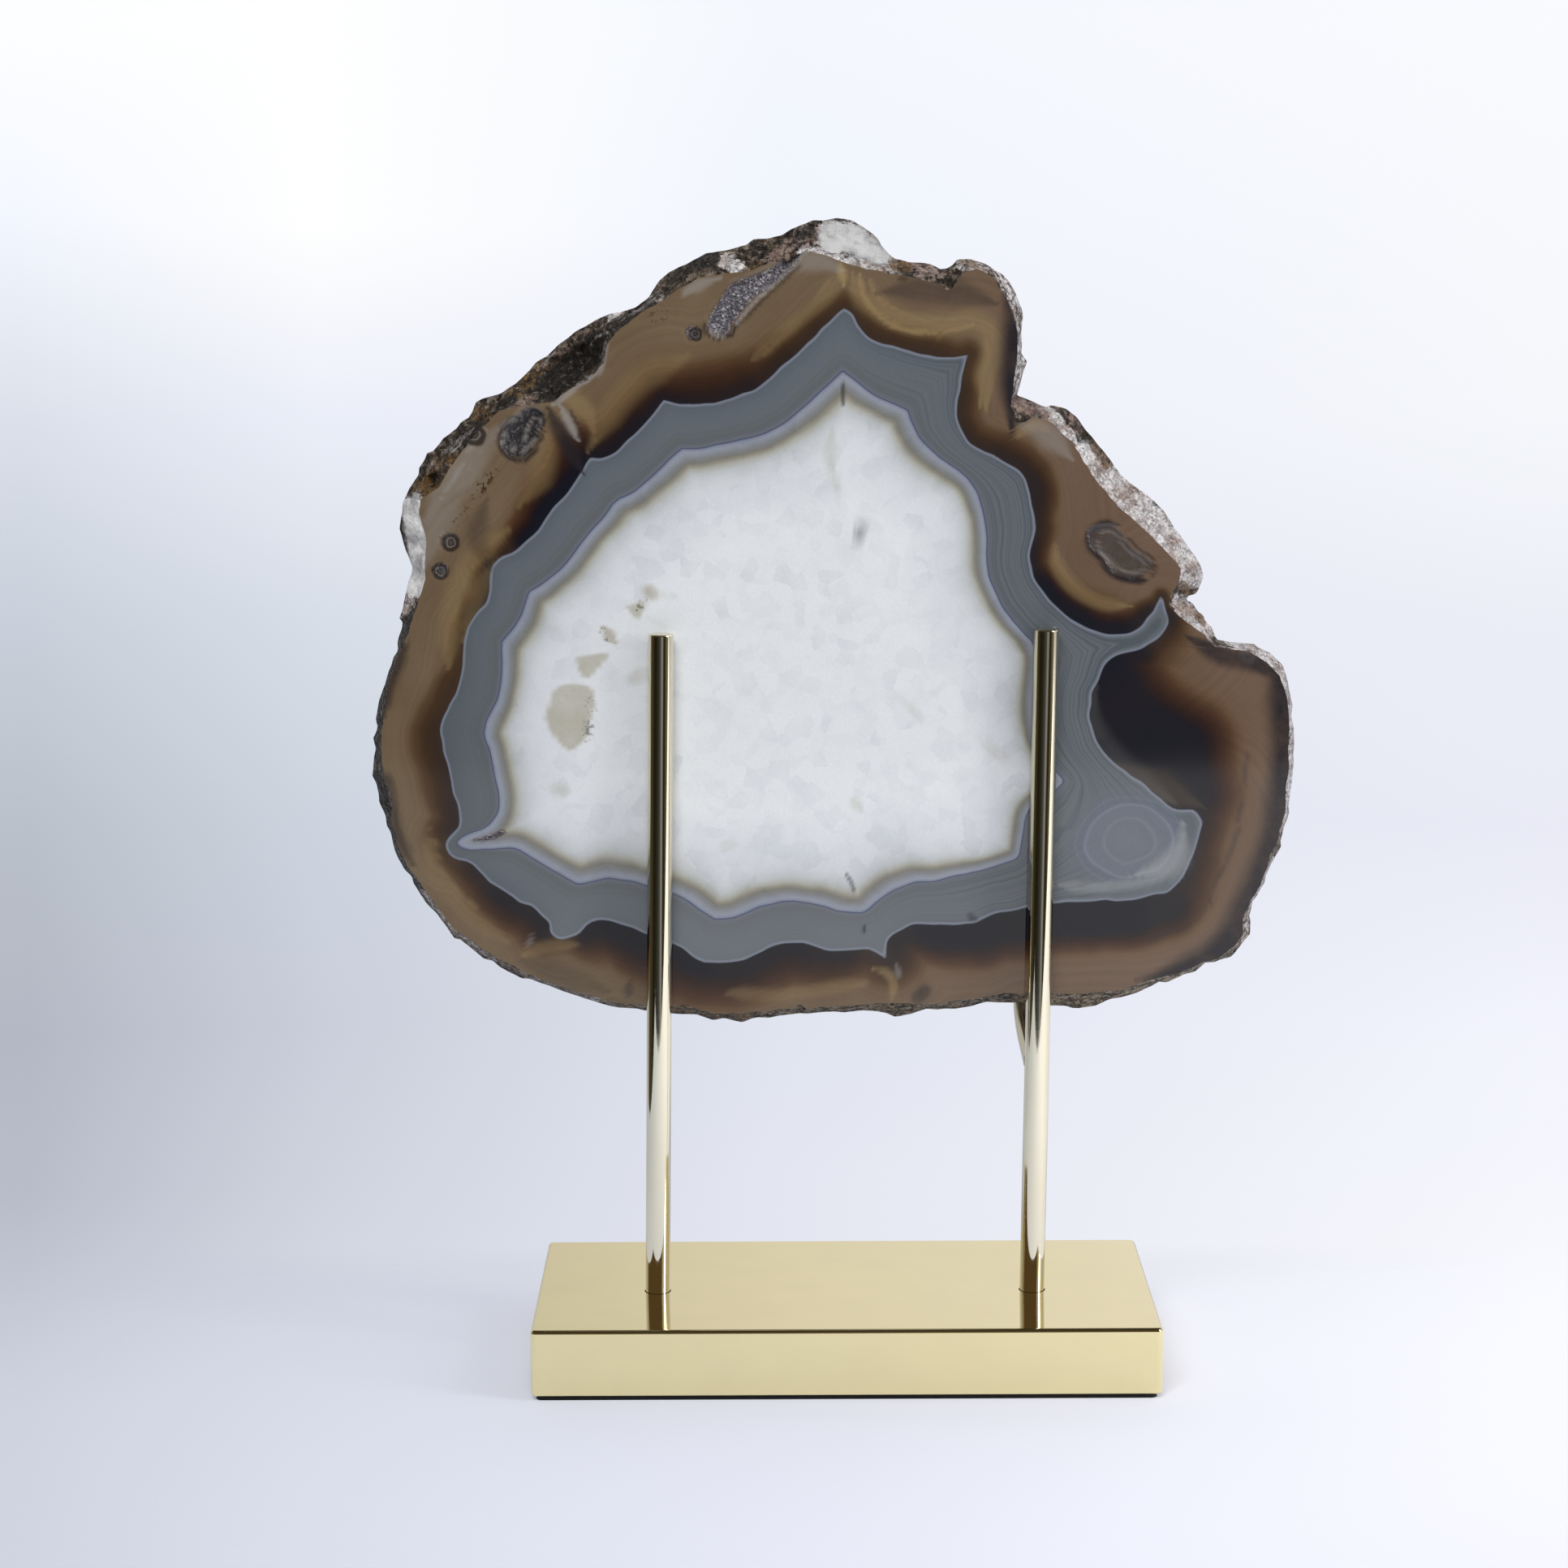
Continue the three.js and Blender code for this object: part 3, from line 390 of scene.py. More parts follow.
# Patches of the same stain with a sharper edge: how strong, and the outline.
STAIN_PATCHES = [
    (0.78, [(-95.4, 211.8), (-91.4, 221.7), (-81.8, 222.2), (-79.5, 217.6), (-81.2, 209.5),
           (-81.8, 206.1), (-84.6, 203.2), (-88, 201.5), (-92.6, 206.1)]),
    (0.8, [(-85, 231.5), (-75, 232.6), (-78, 228), (-82, 224.5), (-84.6, 228)]),
    (0.7, [(-69, 247.6), (-62.6, 249.4), (-65.4, 243.5)]),
]
RUSTY_SPECKS = [
    (1.0, 3.2, [(-109, 292), (-113, 287), (-118, 281)]),
    (0.8, 2.2, [(-118, 281), (-121, 277), (-124, 273)]),
    (0.6, 2.0, [(-84, 202), (-81.4, 208), (-80.6, 215), (-81, 221)]),
    (1.0, 2.0, [(-77, 241), (-74, 236)]),
    (0.7, 2.0, [(-66, 246), (-62, 251)]),
    (0.6, 3.5, [(-61, 338), (-55, 341)]),
    (0.8, 2.0, [(-75, 334), (-68, 338)]),
    (0.5, 2.5, [(80, 297), (88, 286), (98, 276)]),
]

# Crystal pockets in the front face: tone, depth in mm, and rim. The tone runs from brown at
# 0.1 and black at 0.3 through rosy grey at 0.6 to white at 0.8.
POCKETS = [
    (0.60, 1.6, [(-42.6, 338), (-42.6, 335.2), (-40.8, 333.4), (-38.2, 332.9), (-35.6, 334),
                 (-34.6, 336.4), (-33, 338.6), (-29.6, 342.6), (-26.2, 345.8), (-21.4, 348.4),
                 (-17.6, 351.6), (-14.4, 355.4), (-12.4, 358.6), (-14, 360), (-18.5, 357.2),
                 (-22, 354.6), (-26.4, 352.6), (-30.4, 351), (-34.6, 349.6), (-37, 346.6),
                 (-39.6, 342.8)]),
    (0.30, 2.0, [(-108.4, 301), (-107.6, 297.4), (-105, 295), (-101.6, 294.6), (-98.6, 296.4),
                 (-96.8, 299.8), (-94.6, 303.4), (-93.8, 307), (-95.2, 310), (-98.6, 311),
                 (-101.6, 309.6), (-104.4, 307), (-107, 304.6)]),
    (0.15, 1.2, [(77.2, 270.4), (79.7, 272.4), (85.6, 272.7), (88.6, 269.4), (91.6, 265.4),
                 (95.6, 262.9), (98.1, 260.4), (97.1, 257.9), (94.6, 256), (94.1, 254),
                 (90.6, 255.5), (87.6, 256.5), (85.1, 257.4), (83.6, 260.4), (81.6, 262.9),
                 (78.7, 264.4), (77.2, 267.4)]),
    (0.55, 0.9, [(-47.4, 336.2), (-45, 335.2), (-44.6, 333), (-46.4, 331.6), (-49, 332),
                 (-49.8, 334.2)]),
    (0.15, 0.6, [(-124.6, 271.6), (-122.4, 270.4), (-121.6, 268), (-123.2, 266), (-126, 265.8),
                 (-127.6, 268.2), (-126.8, 270.8)]),
    (0.45, 0.7, [(-128, 262.4), (-125.6, 261.2), (-125.2, 258.8), (-127, 257), (-129.6, 257.2),
                 (-130.4, 259.8)]),
    (0.5, 0.5, [(-119.5, 172), (-116, 171.7), (-112, 172.7), (-108.4, 174.7), (-110, 175.7),
                 (-114, 174.1), (-118, 173.1)]),
]

# What the rough rind is made of from place to place, laid over its dark brown crust.
WHITE_CRYSTAL = [
    (0.8, 3.5, [(-137, 252), (-140, 246)]),
    (0.8, 3.5, [(-12, 359), (-4, 357), (4, 355), (12, 354)]),
    (0.9, 6.0, [(-5, 364), (2, 364), (9, 361), (14, 356)]),
    (0.5, 2.5, [(24, 353), (31, 351.5)]),
    (0.9, 3.5, [(-37, 356), (-33, 354)]),
    (0.9, 2.5, [(-73, 339), (-69, 341)]),
    (0.45, 2.4, [(-126, 296), (-121, 300)]),
    (0.5, 2.5, [(-131, 291), (-128, 293)]),
    (0.5, 2.5, [(-64, 342), (-58, 345)]),
    (0.6, 4.0, [(38, 355), (46, 353), (52, 348), (56, 340), (57, 328), (55, 316)]),
    (1.0, 3.0, [(63, 310), (68, 305), (72, 300)]),
    (1.0, 8.0, [(76, 294), (84, 286), (92, 279), (100, 271), (107, 264), (112, 257)]),
    (0.9, 4.0, [(107, 248), (111, 243), (117, 239)]),
    (0.8, 3.5, [(125, 234), (135, 230), (141, 223), (144, 208), (144, 190), (142, 175)]),
    (0.5, 3.0, [(139, 164), (134, 154), (131, 145), (130, 138)]),
    (0.6, 2.0, [(-136, 156), (-127, 145), (-116, 135), (-100, 126), (-80, 119)]),
]
CLEAR_QUARTZ = [
    (1.0, 6.5, [(-136, 279), (-135, 270), (-134.5, 262), (-136, 255)]),
    (1.0, 6.5, [(-3, 363.5), (3, 362.5), (11, 358.5)]),
]
BLACK_CRUST = [
    (1.0, 6.0, [(-92, 317), (-87, 322), (-82, 326), (-77, 330)]),
    (0.9, 3.5, [(-116, 301), (-114, 305)]),
    (0.9, 2.0, [(-130, 288), (-128.6, 289)]),
    (0.7, 2.5, [(-108, 311), (-104, 313)]),
    (0.6, 3.0, [(-72, 336), (-66, 340), (-60, 343)]),
    (0.5, 2.5, [(-54, 350), (-48, 354)]),
    (0.6, 3.0, [(-119, 299), (-113, 304)]),
    (1.0, 3.5, [(-45, 356), (-41, 357)]),
    (0.6, 2.0, [(-28, 361), (-24, 359)]),
    (0.6, 2.5, [(-14, 364), (-10, 365)]),
    (0.9, 3.5, [(-138, 243), (-143, 231), (-148, 216), (-150, 200)]),
    (0.9, 3.5, [(-150, 192), (-147, 180), (-143, 168), (-137, 158)]),
    (0.6, 2.0, [(33, 350), (35, 348)]),
    (0.5, 1.8, [(76, 301), (79, 299)]),
]
OCHRE_CRUST = [
    (1.0, 6.0, [(-137, 280), (-133, 284), (-128, 288), (-125, 292)]),
    (0.9, 3.5, [(-115, 308), (-111, 306), (-109, 303)]),
    (0.6, 3.0, [(-122, 293), (-119, 297)]),
    (0.6, 3.5, [(-104, 315), (-99, 319), (-95, 323)]),
    (0.5, 3.0, [(-52, 346), (-46, 349), (-40, 351)]),
    (0.6, 3.5, [(-30, 352), (-26, 354)]),
    (0.6, 3.5, [(-112, 130), (-100, 126), (-86, 120)]),
    (0.6, 2.5, [(-122, 142), (-108, 131), (-92, 123)]),
    (0.7, 3.0, [(-57, 116), (-46, 114), (-30, 113)]),
    (0.3, 3.0, [(10, 114), (20, 114), (40, 116), (60, 117), (75, 116)]),
    (0.9, 2.5, [(16, 355), (20, 354)]),
    (0.6, 3.0, [(38, 356), (41, 355)]),
    (0.9, 1.6, [(113, 243), (115, 241)]),
    (0.8, 3.0, [(80, 298), (84, 292)]),
    (0.7, 3.0, [(108, 253), (112, 250)]),
    (0.5, 2.5, [(0, 366), (5, 364)]),
]
ROSE_CRUST = [
    (0.45, 3.5, [(-95, 320), (-91, 325), (-87, 328)]),
    (0.4, 3.0, [(-85, 332), (-79, 335)]),
    (0.8, 2.5, [(-105, 311), (-98, 312)]),
    (0.8, 4.0, [(-22, 357), (-19, 358)]),
    (0.7, 3.0, [(-17, 361), (-8, 364)]),
    (0.7, 3.5, [(22, 354), (31, 352)]),
    (0.9, 3.5, [(55, 312), (63, 308)]),
    (0.8, 2.5, [(72, 307), (75, 303)]),
]
CRUSTS = {
    "white_crust": WHITE_CRYSTAL, "clear_crust": CLEAR_QUARTZ, "black_crust": BLACK_CRUST,
    "ochre_crust": OCHRE_CRUST, "rose_crust": ROSE_CRUST,
}
# Ropy grey-white rims and ridges of fine crystals.
RIDGES = [
    (0.75, 0.7, [(-34.5, 335.5), (-29.6, 341.4), (-25.5, 345.5), (-20, 350.4), (-14.2, 356.3),
                 (-10.5, 360)]),
    (0.8, 1.0, [(-74, 333), (-75.4, 327), (-76.4, 322.4), (-82.2, 318.4), (-92, 311)]),
    (0.65, 0.8, [(-70.5, 337), (-65, 340.5), (-60, 343.6), (-57, 348)]),
    (0.55, 0.7, [(-80.5, 329.5), (-76.5, 333), (-72, 335)]),
    (0.6, 1.4, [(-97.5, 321), (-93.5, 325), (-90.5, 328.5)]),
    (0.6, 0.7, [(-114, 311), (-111.5, 313.2), (-107, 314.2)]),
    (0.8, 1.2, [(-127, 295.5), (-121.5, 300), (-116, 304.5)]),
    (0.28, 0.7, [(80.4, 269.4), (81.4, 265), (85, 261.4), (88, 258.6), (93, 257.6), (96, 259.4),
                 (93.6, 262.4), (89.4, 265.4), (86.4, 270), (82.6, 270.8), (80.6, 269)]),
    (0.9, 0.7, [(-42, 334.8), (-40.2, 333.4), (-38, 332.9), (-36, 333.8)]),
    (0.6, 0.6, [(-105, 297), (-101, 299.5), (-99.6, 304), (-97, 308.5)]),
    (0.55, 0.5, [(-102, 295.8), (-98, 299.6), (-95.8, 304.6), (-95.4, 308.6)]),
    (0.5, 0.5, [(-107.6, 298.5), (-106.4, 303), (-103, 307.5), (-99, 310)]),
]

# Lumps and holes of the rind: (x, z), radius and height in mm, holes below zero.
RIND_FORMS = [
    (-85, 321, 9, -3.5), (-89.4, 318.8, 3.6, 2.6), (-78, 326, 6, -2.5), (-42.3, 355.3, 4, 2.2),
    (-34, 355.8, 3.5, 1.6), (-19, 359, 3.2, 2.0), (-25.5, 360.7, 3, -1.5), (-50, 352.5, 3, 1.2),
    (-64, 341, 4, -1.6), (-129.4, 287.6, 2.6, -2.5), (-133, 283, 4, 1.4), (-124, 294, 4, 1.5),
    (-116.2, 302, 3.5, 1.6), (-110, 311, 3.5, -1.8), (-104, 315, 4, 1.4), (-97, 318, 4, 1.2),
    (-72, 336, 3.5, 1.4), (-3, 366, 3, 1.4), (4, 365, 3.5, 1.2), (-10, 365.4, 2.5, -1.5),
    (26, 353.5, 4, 1.4), (35, 354, 3, 1.2), (47, 352, 3.5, 1.2), (57, 309, 4, 2.0),
    (63, 308.5, 3.4, 1.6), (67.5, 306.5, 3, 1.4), (70.5, 300.8, 2.6, 1.2), (77, 301.5, 3, -1.8),
    (82, 294, 3.5, 1.5), (88, 286, 3, 1.3), (94.5, 280.5, 3.5, 1.5), (101, 274.5, 3, 1.2),
    (106, 268, 3.5, 1.5), (111.5, 260, 3, 1.3), (-137, 272, 4, 1.6), (-136, 262, 4, 1.4),
    (-139, 252, 3.5, 1.3), (140, 222, 3, 1.2), (143, 205, 3.5, 1.2), (143, 186, 3.5, 1.2),
]

# The big ringed eye at the lower right: its middle, and how many times wider than high it is.
BIG_EYE = (91.7, 171.3)
BIG_EYE_SQUASH = 1.2
# Round pockets and ringed eyes in the cut: (x, z) and radius in mm.
EYES = [
    (-124.4, 268.3, 2.9), (-127.7, 259, 2.8), (-116.2, 302, 3.3), (-46.3, 333.3, 2.3),
    (-129.4, 287.6, 2.1),
]

# Helpers.


def linear(code):
    """Turns an sRGB hex value into the linear colour that Blender works in."""
    parts = np.array([int(code[i:i + 2], 16) for i in (1, 3, 5)]) / 255
    return (*np.where(parts <= 0.04045, parts / 12.92, ((parts + 0.055) / 1.055) ** 2.4), 1.0)


def fill(node, inputs):
    """Sets a node's inputs, by name or number, to values, hex colours, sockets or nodes. A
    node stands for its first output in use."""
    for key, value in inputs.items():
        socket = node.inputs[key] if isinstance(key, int) else next(
            s for s in node.inputs if s.name == key and s.enabled)
        if isinstance(value, bpy.types.Node):
            value = next(s for s in value.outputs if s.enabled)
        if isinstance(value, bpy.types.NodeSocket):
            node.id_data.links.new(value, socket)
        else:
            socket.default_value = linear(value) if isinstance(value, str) else value


def add(tree, kind, inputs=None, stops=None, **settings):
    """Adds a shader node with its settings and inputs. stops are a colour ramp's (place,
    hex)."""
    node = tree.nodes.new("ShaderNode" + kind)
    for name, value in settings.items():
        setattr(node, name, value)
    fill(node, inputs or {})
    for number, (place, code) in enumerate(stops or []):
        marks = node.color_ramp.elements
        mark = marks[number] if number < 2 else marks.new(place)
        mark.position = place
        mark.color = linear(code)
    return node


def layered(tree, base, *layers, blend_type="MIX"):
    """Colours laid over a base, one after another. A layer is its share and its colour. The
    share is a value or node, or (value, low, high, most), which rises from 0 to most as the
    value goes from low to high."""
    for share, colour in layers:
        if isinstance(share, tuple):
            value, low, high, most = share
            share = add(tree, "MapRange", {"Value": value, "From Min": low,
                                           "From Max": high, "To Max": most})
        base = add(tree, "Mix", {"Factor": share, "A": base, "B": colour},
                   data_type="RGBA", blend_type=blend_type)
    return base


def new_material(name):
    """An empty node material with its tree and the shader that ends it."""
    material = bpy.data.materials.new(name)
    material.use_nodes = True
    return material, material.node_tree, material.node_tree.nodes["Principled BSDF"]


def smoothstep(low, high, value):
    """Eased step: 0 below low, 1 above high and 3s2 - 2s3 between them."""
    share = np.clip((value - low) / (high - low), 0, 1)
    return share * share * (3 - 2 * share)


def smooth_run(points, parts):
    """Smooth curve through the points: a Catmull-Rom spline, each span the sum of its four
    nearest points weighted by cubics, with the end points mirrored to give the outer spans."""
    points = np.asarray(points, float)
    if len(points) < 3:
        return points
    ends = np.vstack([2 * points[0] - points[1], points, 2 * points[-1] - points[-2]])
    t = np.linspace(0, 1, parts, endpoint=False)[:, None]
    weights = np.stack([-t + 2 * t**2 - t**3, 2 - 5 * t**2 + 3 * t**3,
                        t + 4 * t**2 - 3 * t**3, t**3 - t**2], -1) / 2
    spans = np.stack([ends[i:len(ends) - 3 + i] for i in range(4)], 1)
    return np.vstack([np.einsum("pok,skd->spd", weights, spans).reshape(-1, 2), points[-1:]])


def outline(runs):
    """One line through all the runs, smooth within each."""
    return np.vstack([smooth_run(run, 3) for run in runs])


def closed(line):
    """The line with its first point again at its end."""
    return np.vstack([line, line[:1]])


def nearest(points, line):
    """Distance from each point to a line of straight pieces: the least length, over the
    pieces, of the point's offset from its foot on the piece."""
    best = np.full(len(points), np.inf)
    for a, b in zip(line[:-1], line[1:]):
        along = b - a
        share = np.clip((points - a) @ along / max(along @ along, 1e-9), 0, 1)
        best = np.minimum(best, np.hypot(*(points - a - share[:, None] * along).T))
    return best


def signed(points, loop):
    """Distance to a closed line, negative inside: inside is where a ray crosses it an odd
    number of times."""
    inside = np.zeros(len(points), bool)
    x, z = points.T
    for (ax, az), (bx, bz) in zip(loop[:-1], loop[1:]):
        if az != bz:
            inside ^= ((az > z) != (bz > z)) & (x < (bx - ax) * (z - az) / (bz - az) + ax)
    return np.where(inside, -1, 1) * nearest(points, loop)


def painted(points, strokes, pointed=True):
    """How strongly the strokes cover each point: the greatest, over the strokes, of its
    strength times an eased step from just past the stroke's edge to near its middle. Pointed
    strokes narrow evenly towards each end, over 2.5 of their half widths or half their
    length, whichever is less."""
    cover = np.zeros(len(points))
    for strength, half_width, line in strokes:
        run = smooth_run(line, 4)
        share = nearest(points, run) / half_width
        if pointed:
            length = np.hypot(*np.diff(run, axis=0).T).sum()
            end = np.minimum(*(np.hypot(*(points - run[k]).T) for k in (0, -1)))
            share = share / np.clip(end / min(2.5 * half_width, length / 2), 0.05, 1)
        cover = np.maximum(cover, strength * smoothstep(1.15, 0.25, share))
    return cover


def bumps(points, size, seed):
    """Smooth random hills between -1 and 1: random values on a lattice of that size, blended
    between the eight nearest corners with eased shares. The lattice repeats after 32 steps."""
    period = 32
    table = np.random.default_rng(seed).uniform(-1, 1, (period,) * 3)
    cell = np.floor(points / size).astype(int)
    share = smoothstep(0, 1, points / size - cell)
    total = 0
    for corner in np.ndindex(2, 2, 2):
        weight = np.prod(np.where(corner, share, 1 - share), axis=-1)
        total = total + weight * table[tuple(np.moveaxis((cell + corner) % period, -1, 0))]
    return total


def closed_surface(name, rings, first, last):
    """A mesh object whose rings of points (rows, columns, xyz in millimetres) are joined by
    quads round and along, closed at both ends by fans to the first and last points."""
    rows, columns = rings.shape[:2]
    points = np.vstack([rings.reshape(-1, 3), first, last]) * MM
    ring = np.arange(rows * columns).reshape(rows, columns)
    after = np.roll(ring, -1, axis=1)
    quads = np.stack([ring[:-1], after[:-1], after[1:], ring[1:]], -1).reshape(-1)
    start = np.stack([after[0], ring[0], np.full(columns, rows * columns)], -1).reshape(-1)
    end = np.stack([ring[-1], after[-1], np.full(columns, rows * columns + 1)], -1).reshape(-1)
    corners = np.concatenate([quads, start, end]).astype(np.int32)
    sizes = np.concatenate([np.full(len(quads) // 4, 4), np.full(2 * columns, 3)])
    return mesh_object(name, points, corners, sizes)


def mesh_object(name, points, corners, sizes):
    """A smooth-shaded mesh object in the scene, from points in metres, the faces' corners in
    one row and the number of corners of each face. Its faces are turned outwards where the
    volume that they close, the sum of their signed tetrahedra, is negative."""
    starts = np.concatenate([[0], np.cumsum(sizes)[:-1]]).astype(np.int32)
    a = points[corners[starts]]
    volume = sum(np.einsum("ij,ij->i", a[sizes > k + 1], np.cross(
        points[corners[(starts + k)[sizes > k + 1]]],
        points[corners[(starts + k + 1)[sizes > k + 1]]])).sum()
        for k in range(1, sizes.max() - 1))
    if volume < 0:
        face = np.repeat(np.arange(len(sizes)), sizes)
        place = np.arange(len(corners)) - starts[face]
        corners = corners[starts[face] + (sizes[face] - place) % sizes[face]]
    mesh = bpy.data.meshes.new(name)
    mesh.vertices.add(len(points))
    mesh.vertices.foreach_set("co", points.astype(np.float32).ravel())
    mesh.loops.add(len(corners))
    mesh.loops.foreach_set("vertex_index", corners.astype(np.int32))
    mesh.polygons.add(len(sizes))
    mesh.polygons.foreach_set("loop_start", starts)
    mesh.update(calc_edges=True)
    if mesh.validate():
        raise RuntimeError(f"the mesh of {name} is broken")
    mesh.polygons.foreach_set("use_smooth", np.ones(len(sizes), bool))
    piece = bpy.data.objects.new(name, mesh)
    bpy.context.scene.collection.objects.link(piece)
    return piece


def store(mesh, **values):
    """Keeps arrays of one number per vertex as the mesh's attributes of those names."""
    for name, array in values.items():
        mesh.attributes.new(name, "FLOAT", "POINT").data.foreach_set(
            "value", np.asarray(array, np.float32))


# Sizes and colours that a user would change.


LENGTH = {"subtype": "DISTANCE", "unit": "LENGTH"}
COLOUR = {"size": 3, "min": 0, "max": 1, "subtype": "COLOR"}


class StoneSettings(bpy.types.PropertyGroup):
    """The agate slice."""

    columns: IntProperty(
        name="Columns", description="Points round the stone's outline", default=880, min=60)
    lumps: FloatProperty(
        name="Rind lumps", description="Height of the biggest lumps of the rough rind",
        default=1.3 * MM, **LENGTH)
    polish: FloatProperty(
        name="Polish", description="Roughness of the polished faces",
        default=0.06, min=0, max=1, subtype="FACTOR")
    quartz: FloatVectorProperty(
        name="Quartz", description="Colour of the clear white heart",
        default=linear("#dde0e2")[:3], **COLOUR)
    tan: FloatVectorProperty(
        name="Outer band", description="Colour of the light brown outer band",
        default=linear("#6e5e49")[:3], **COLOUR)


class StandSettings(bpy.types.PropertyGroup):
    """The base, posts and tines."""

    corner_radius: FloatProperty(
        name="Corner radius", description="Radius of the base's upright corners",
        default=2 * MM, **LENGTH)
    edge_radius: FloatProperty(
        name="Edge radius", description="Radius of the base's upper and lower edges",
        default=1.2 * MM, **LENGTH)
    rod_radius: FloatProperty(
        name="Rod radius", description="Radius of the posts and tines",
        default=4 * MM, **LENGTH)
    base_gold: FloatVectorProperty(
        name="Base gold", description="Colour that the polished base gives to reflections",
        default=linear("#f5e7b3")[:3], **COLOUR)
    rod_gold: FloatVectorProperty(
        name="Rod gold", description="Colour that the polished rods give to reflections",
        default=linear("#eae3ca")[:3], **COLOUR)


class StudioSettings(bpy.types.PropertyGroup):
    """The floor, lights and camera."""

    key_power: FloatProperty(
        name="Key light", description="Power of the big soft light above the camera",
        default=22, min=0, unit="POWER")
    lens: FloatProperty(
        name="Lens", description="Focal length on a 36 mm wide sensor",
        default=84.466, min=1, unit="CAMERA")
    table: FloatVectorProperty(
        name="Table", description="Colour of the pale table top",
        default=linear("#f8f9ff")[:3], **COLOUR)


# Materials: how strongly quartz bends light, and by how many mm cloudy noise sways the
# heart's crystals, the small eyes and the rind's knobs.
QUARTZ_IOR = 1.54
HEART_SWAY = 6.0
EYE_SWAY = 2.8
KNOB_SWAY = 13.0


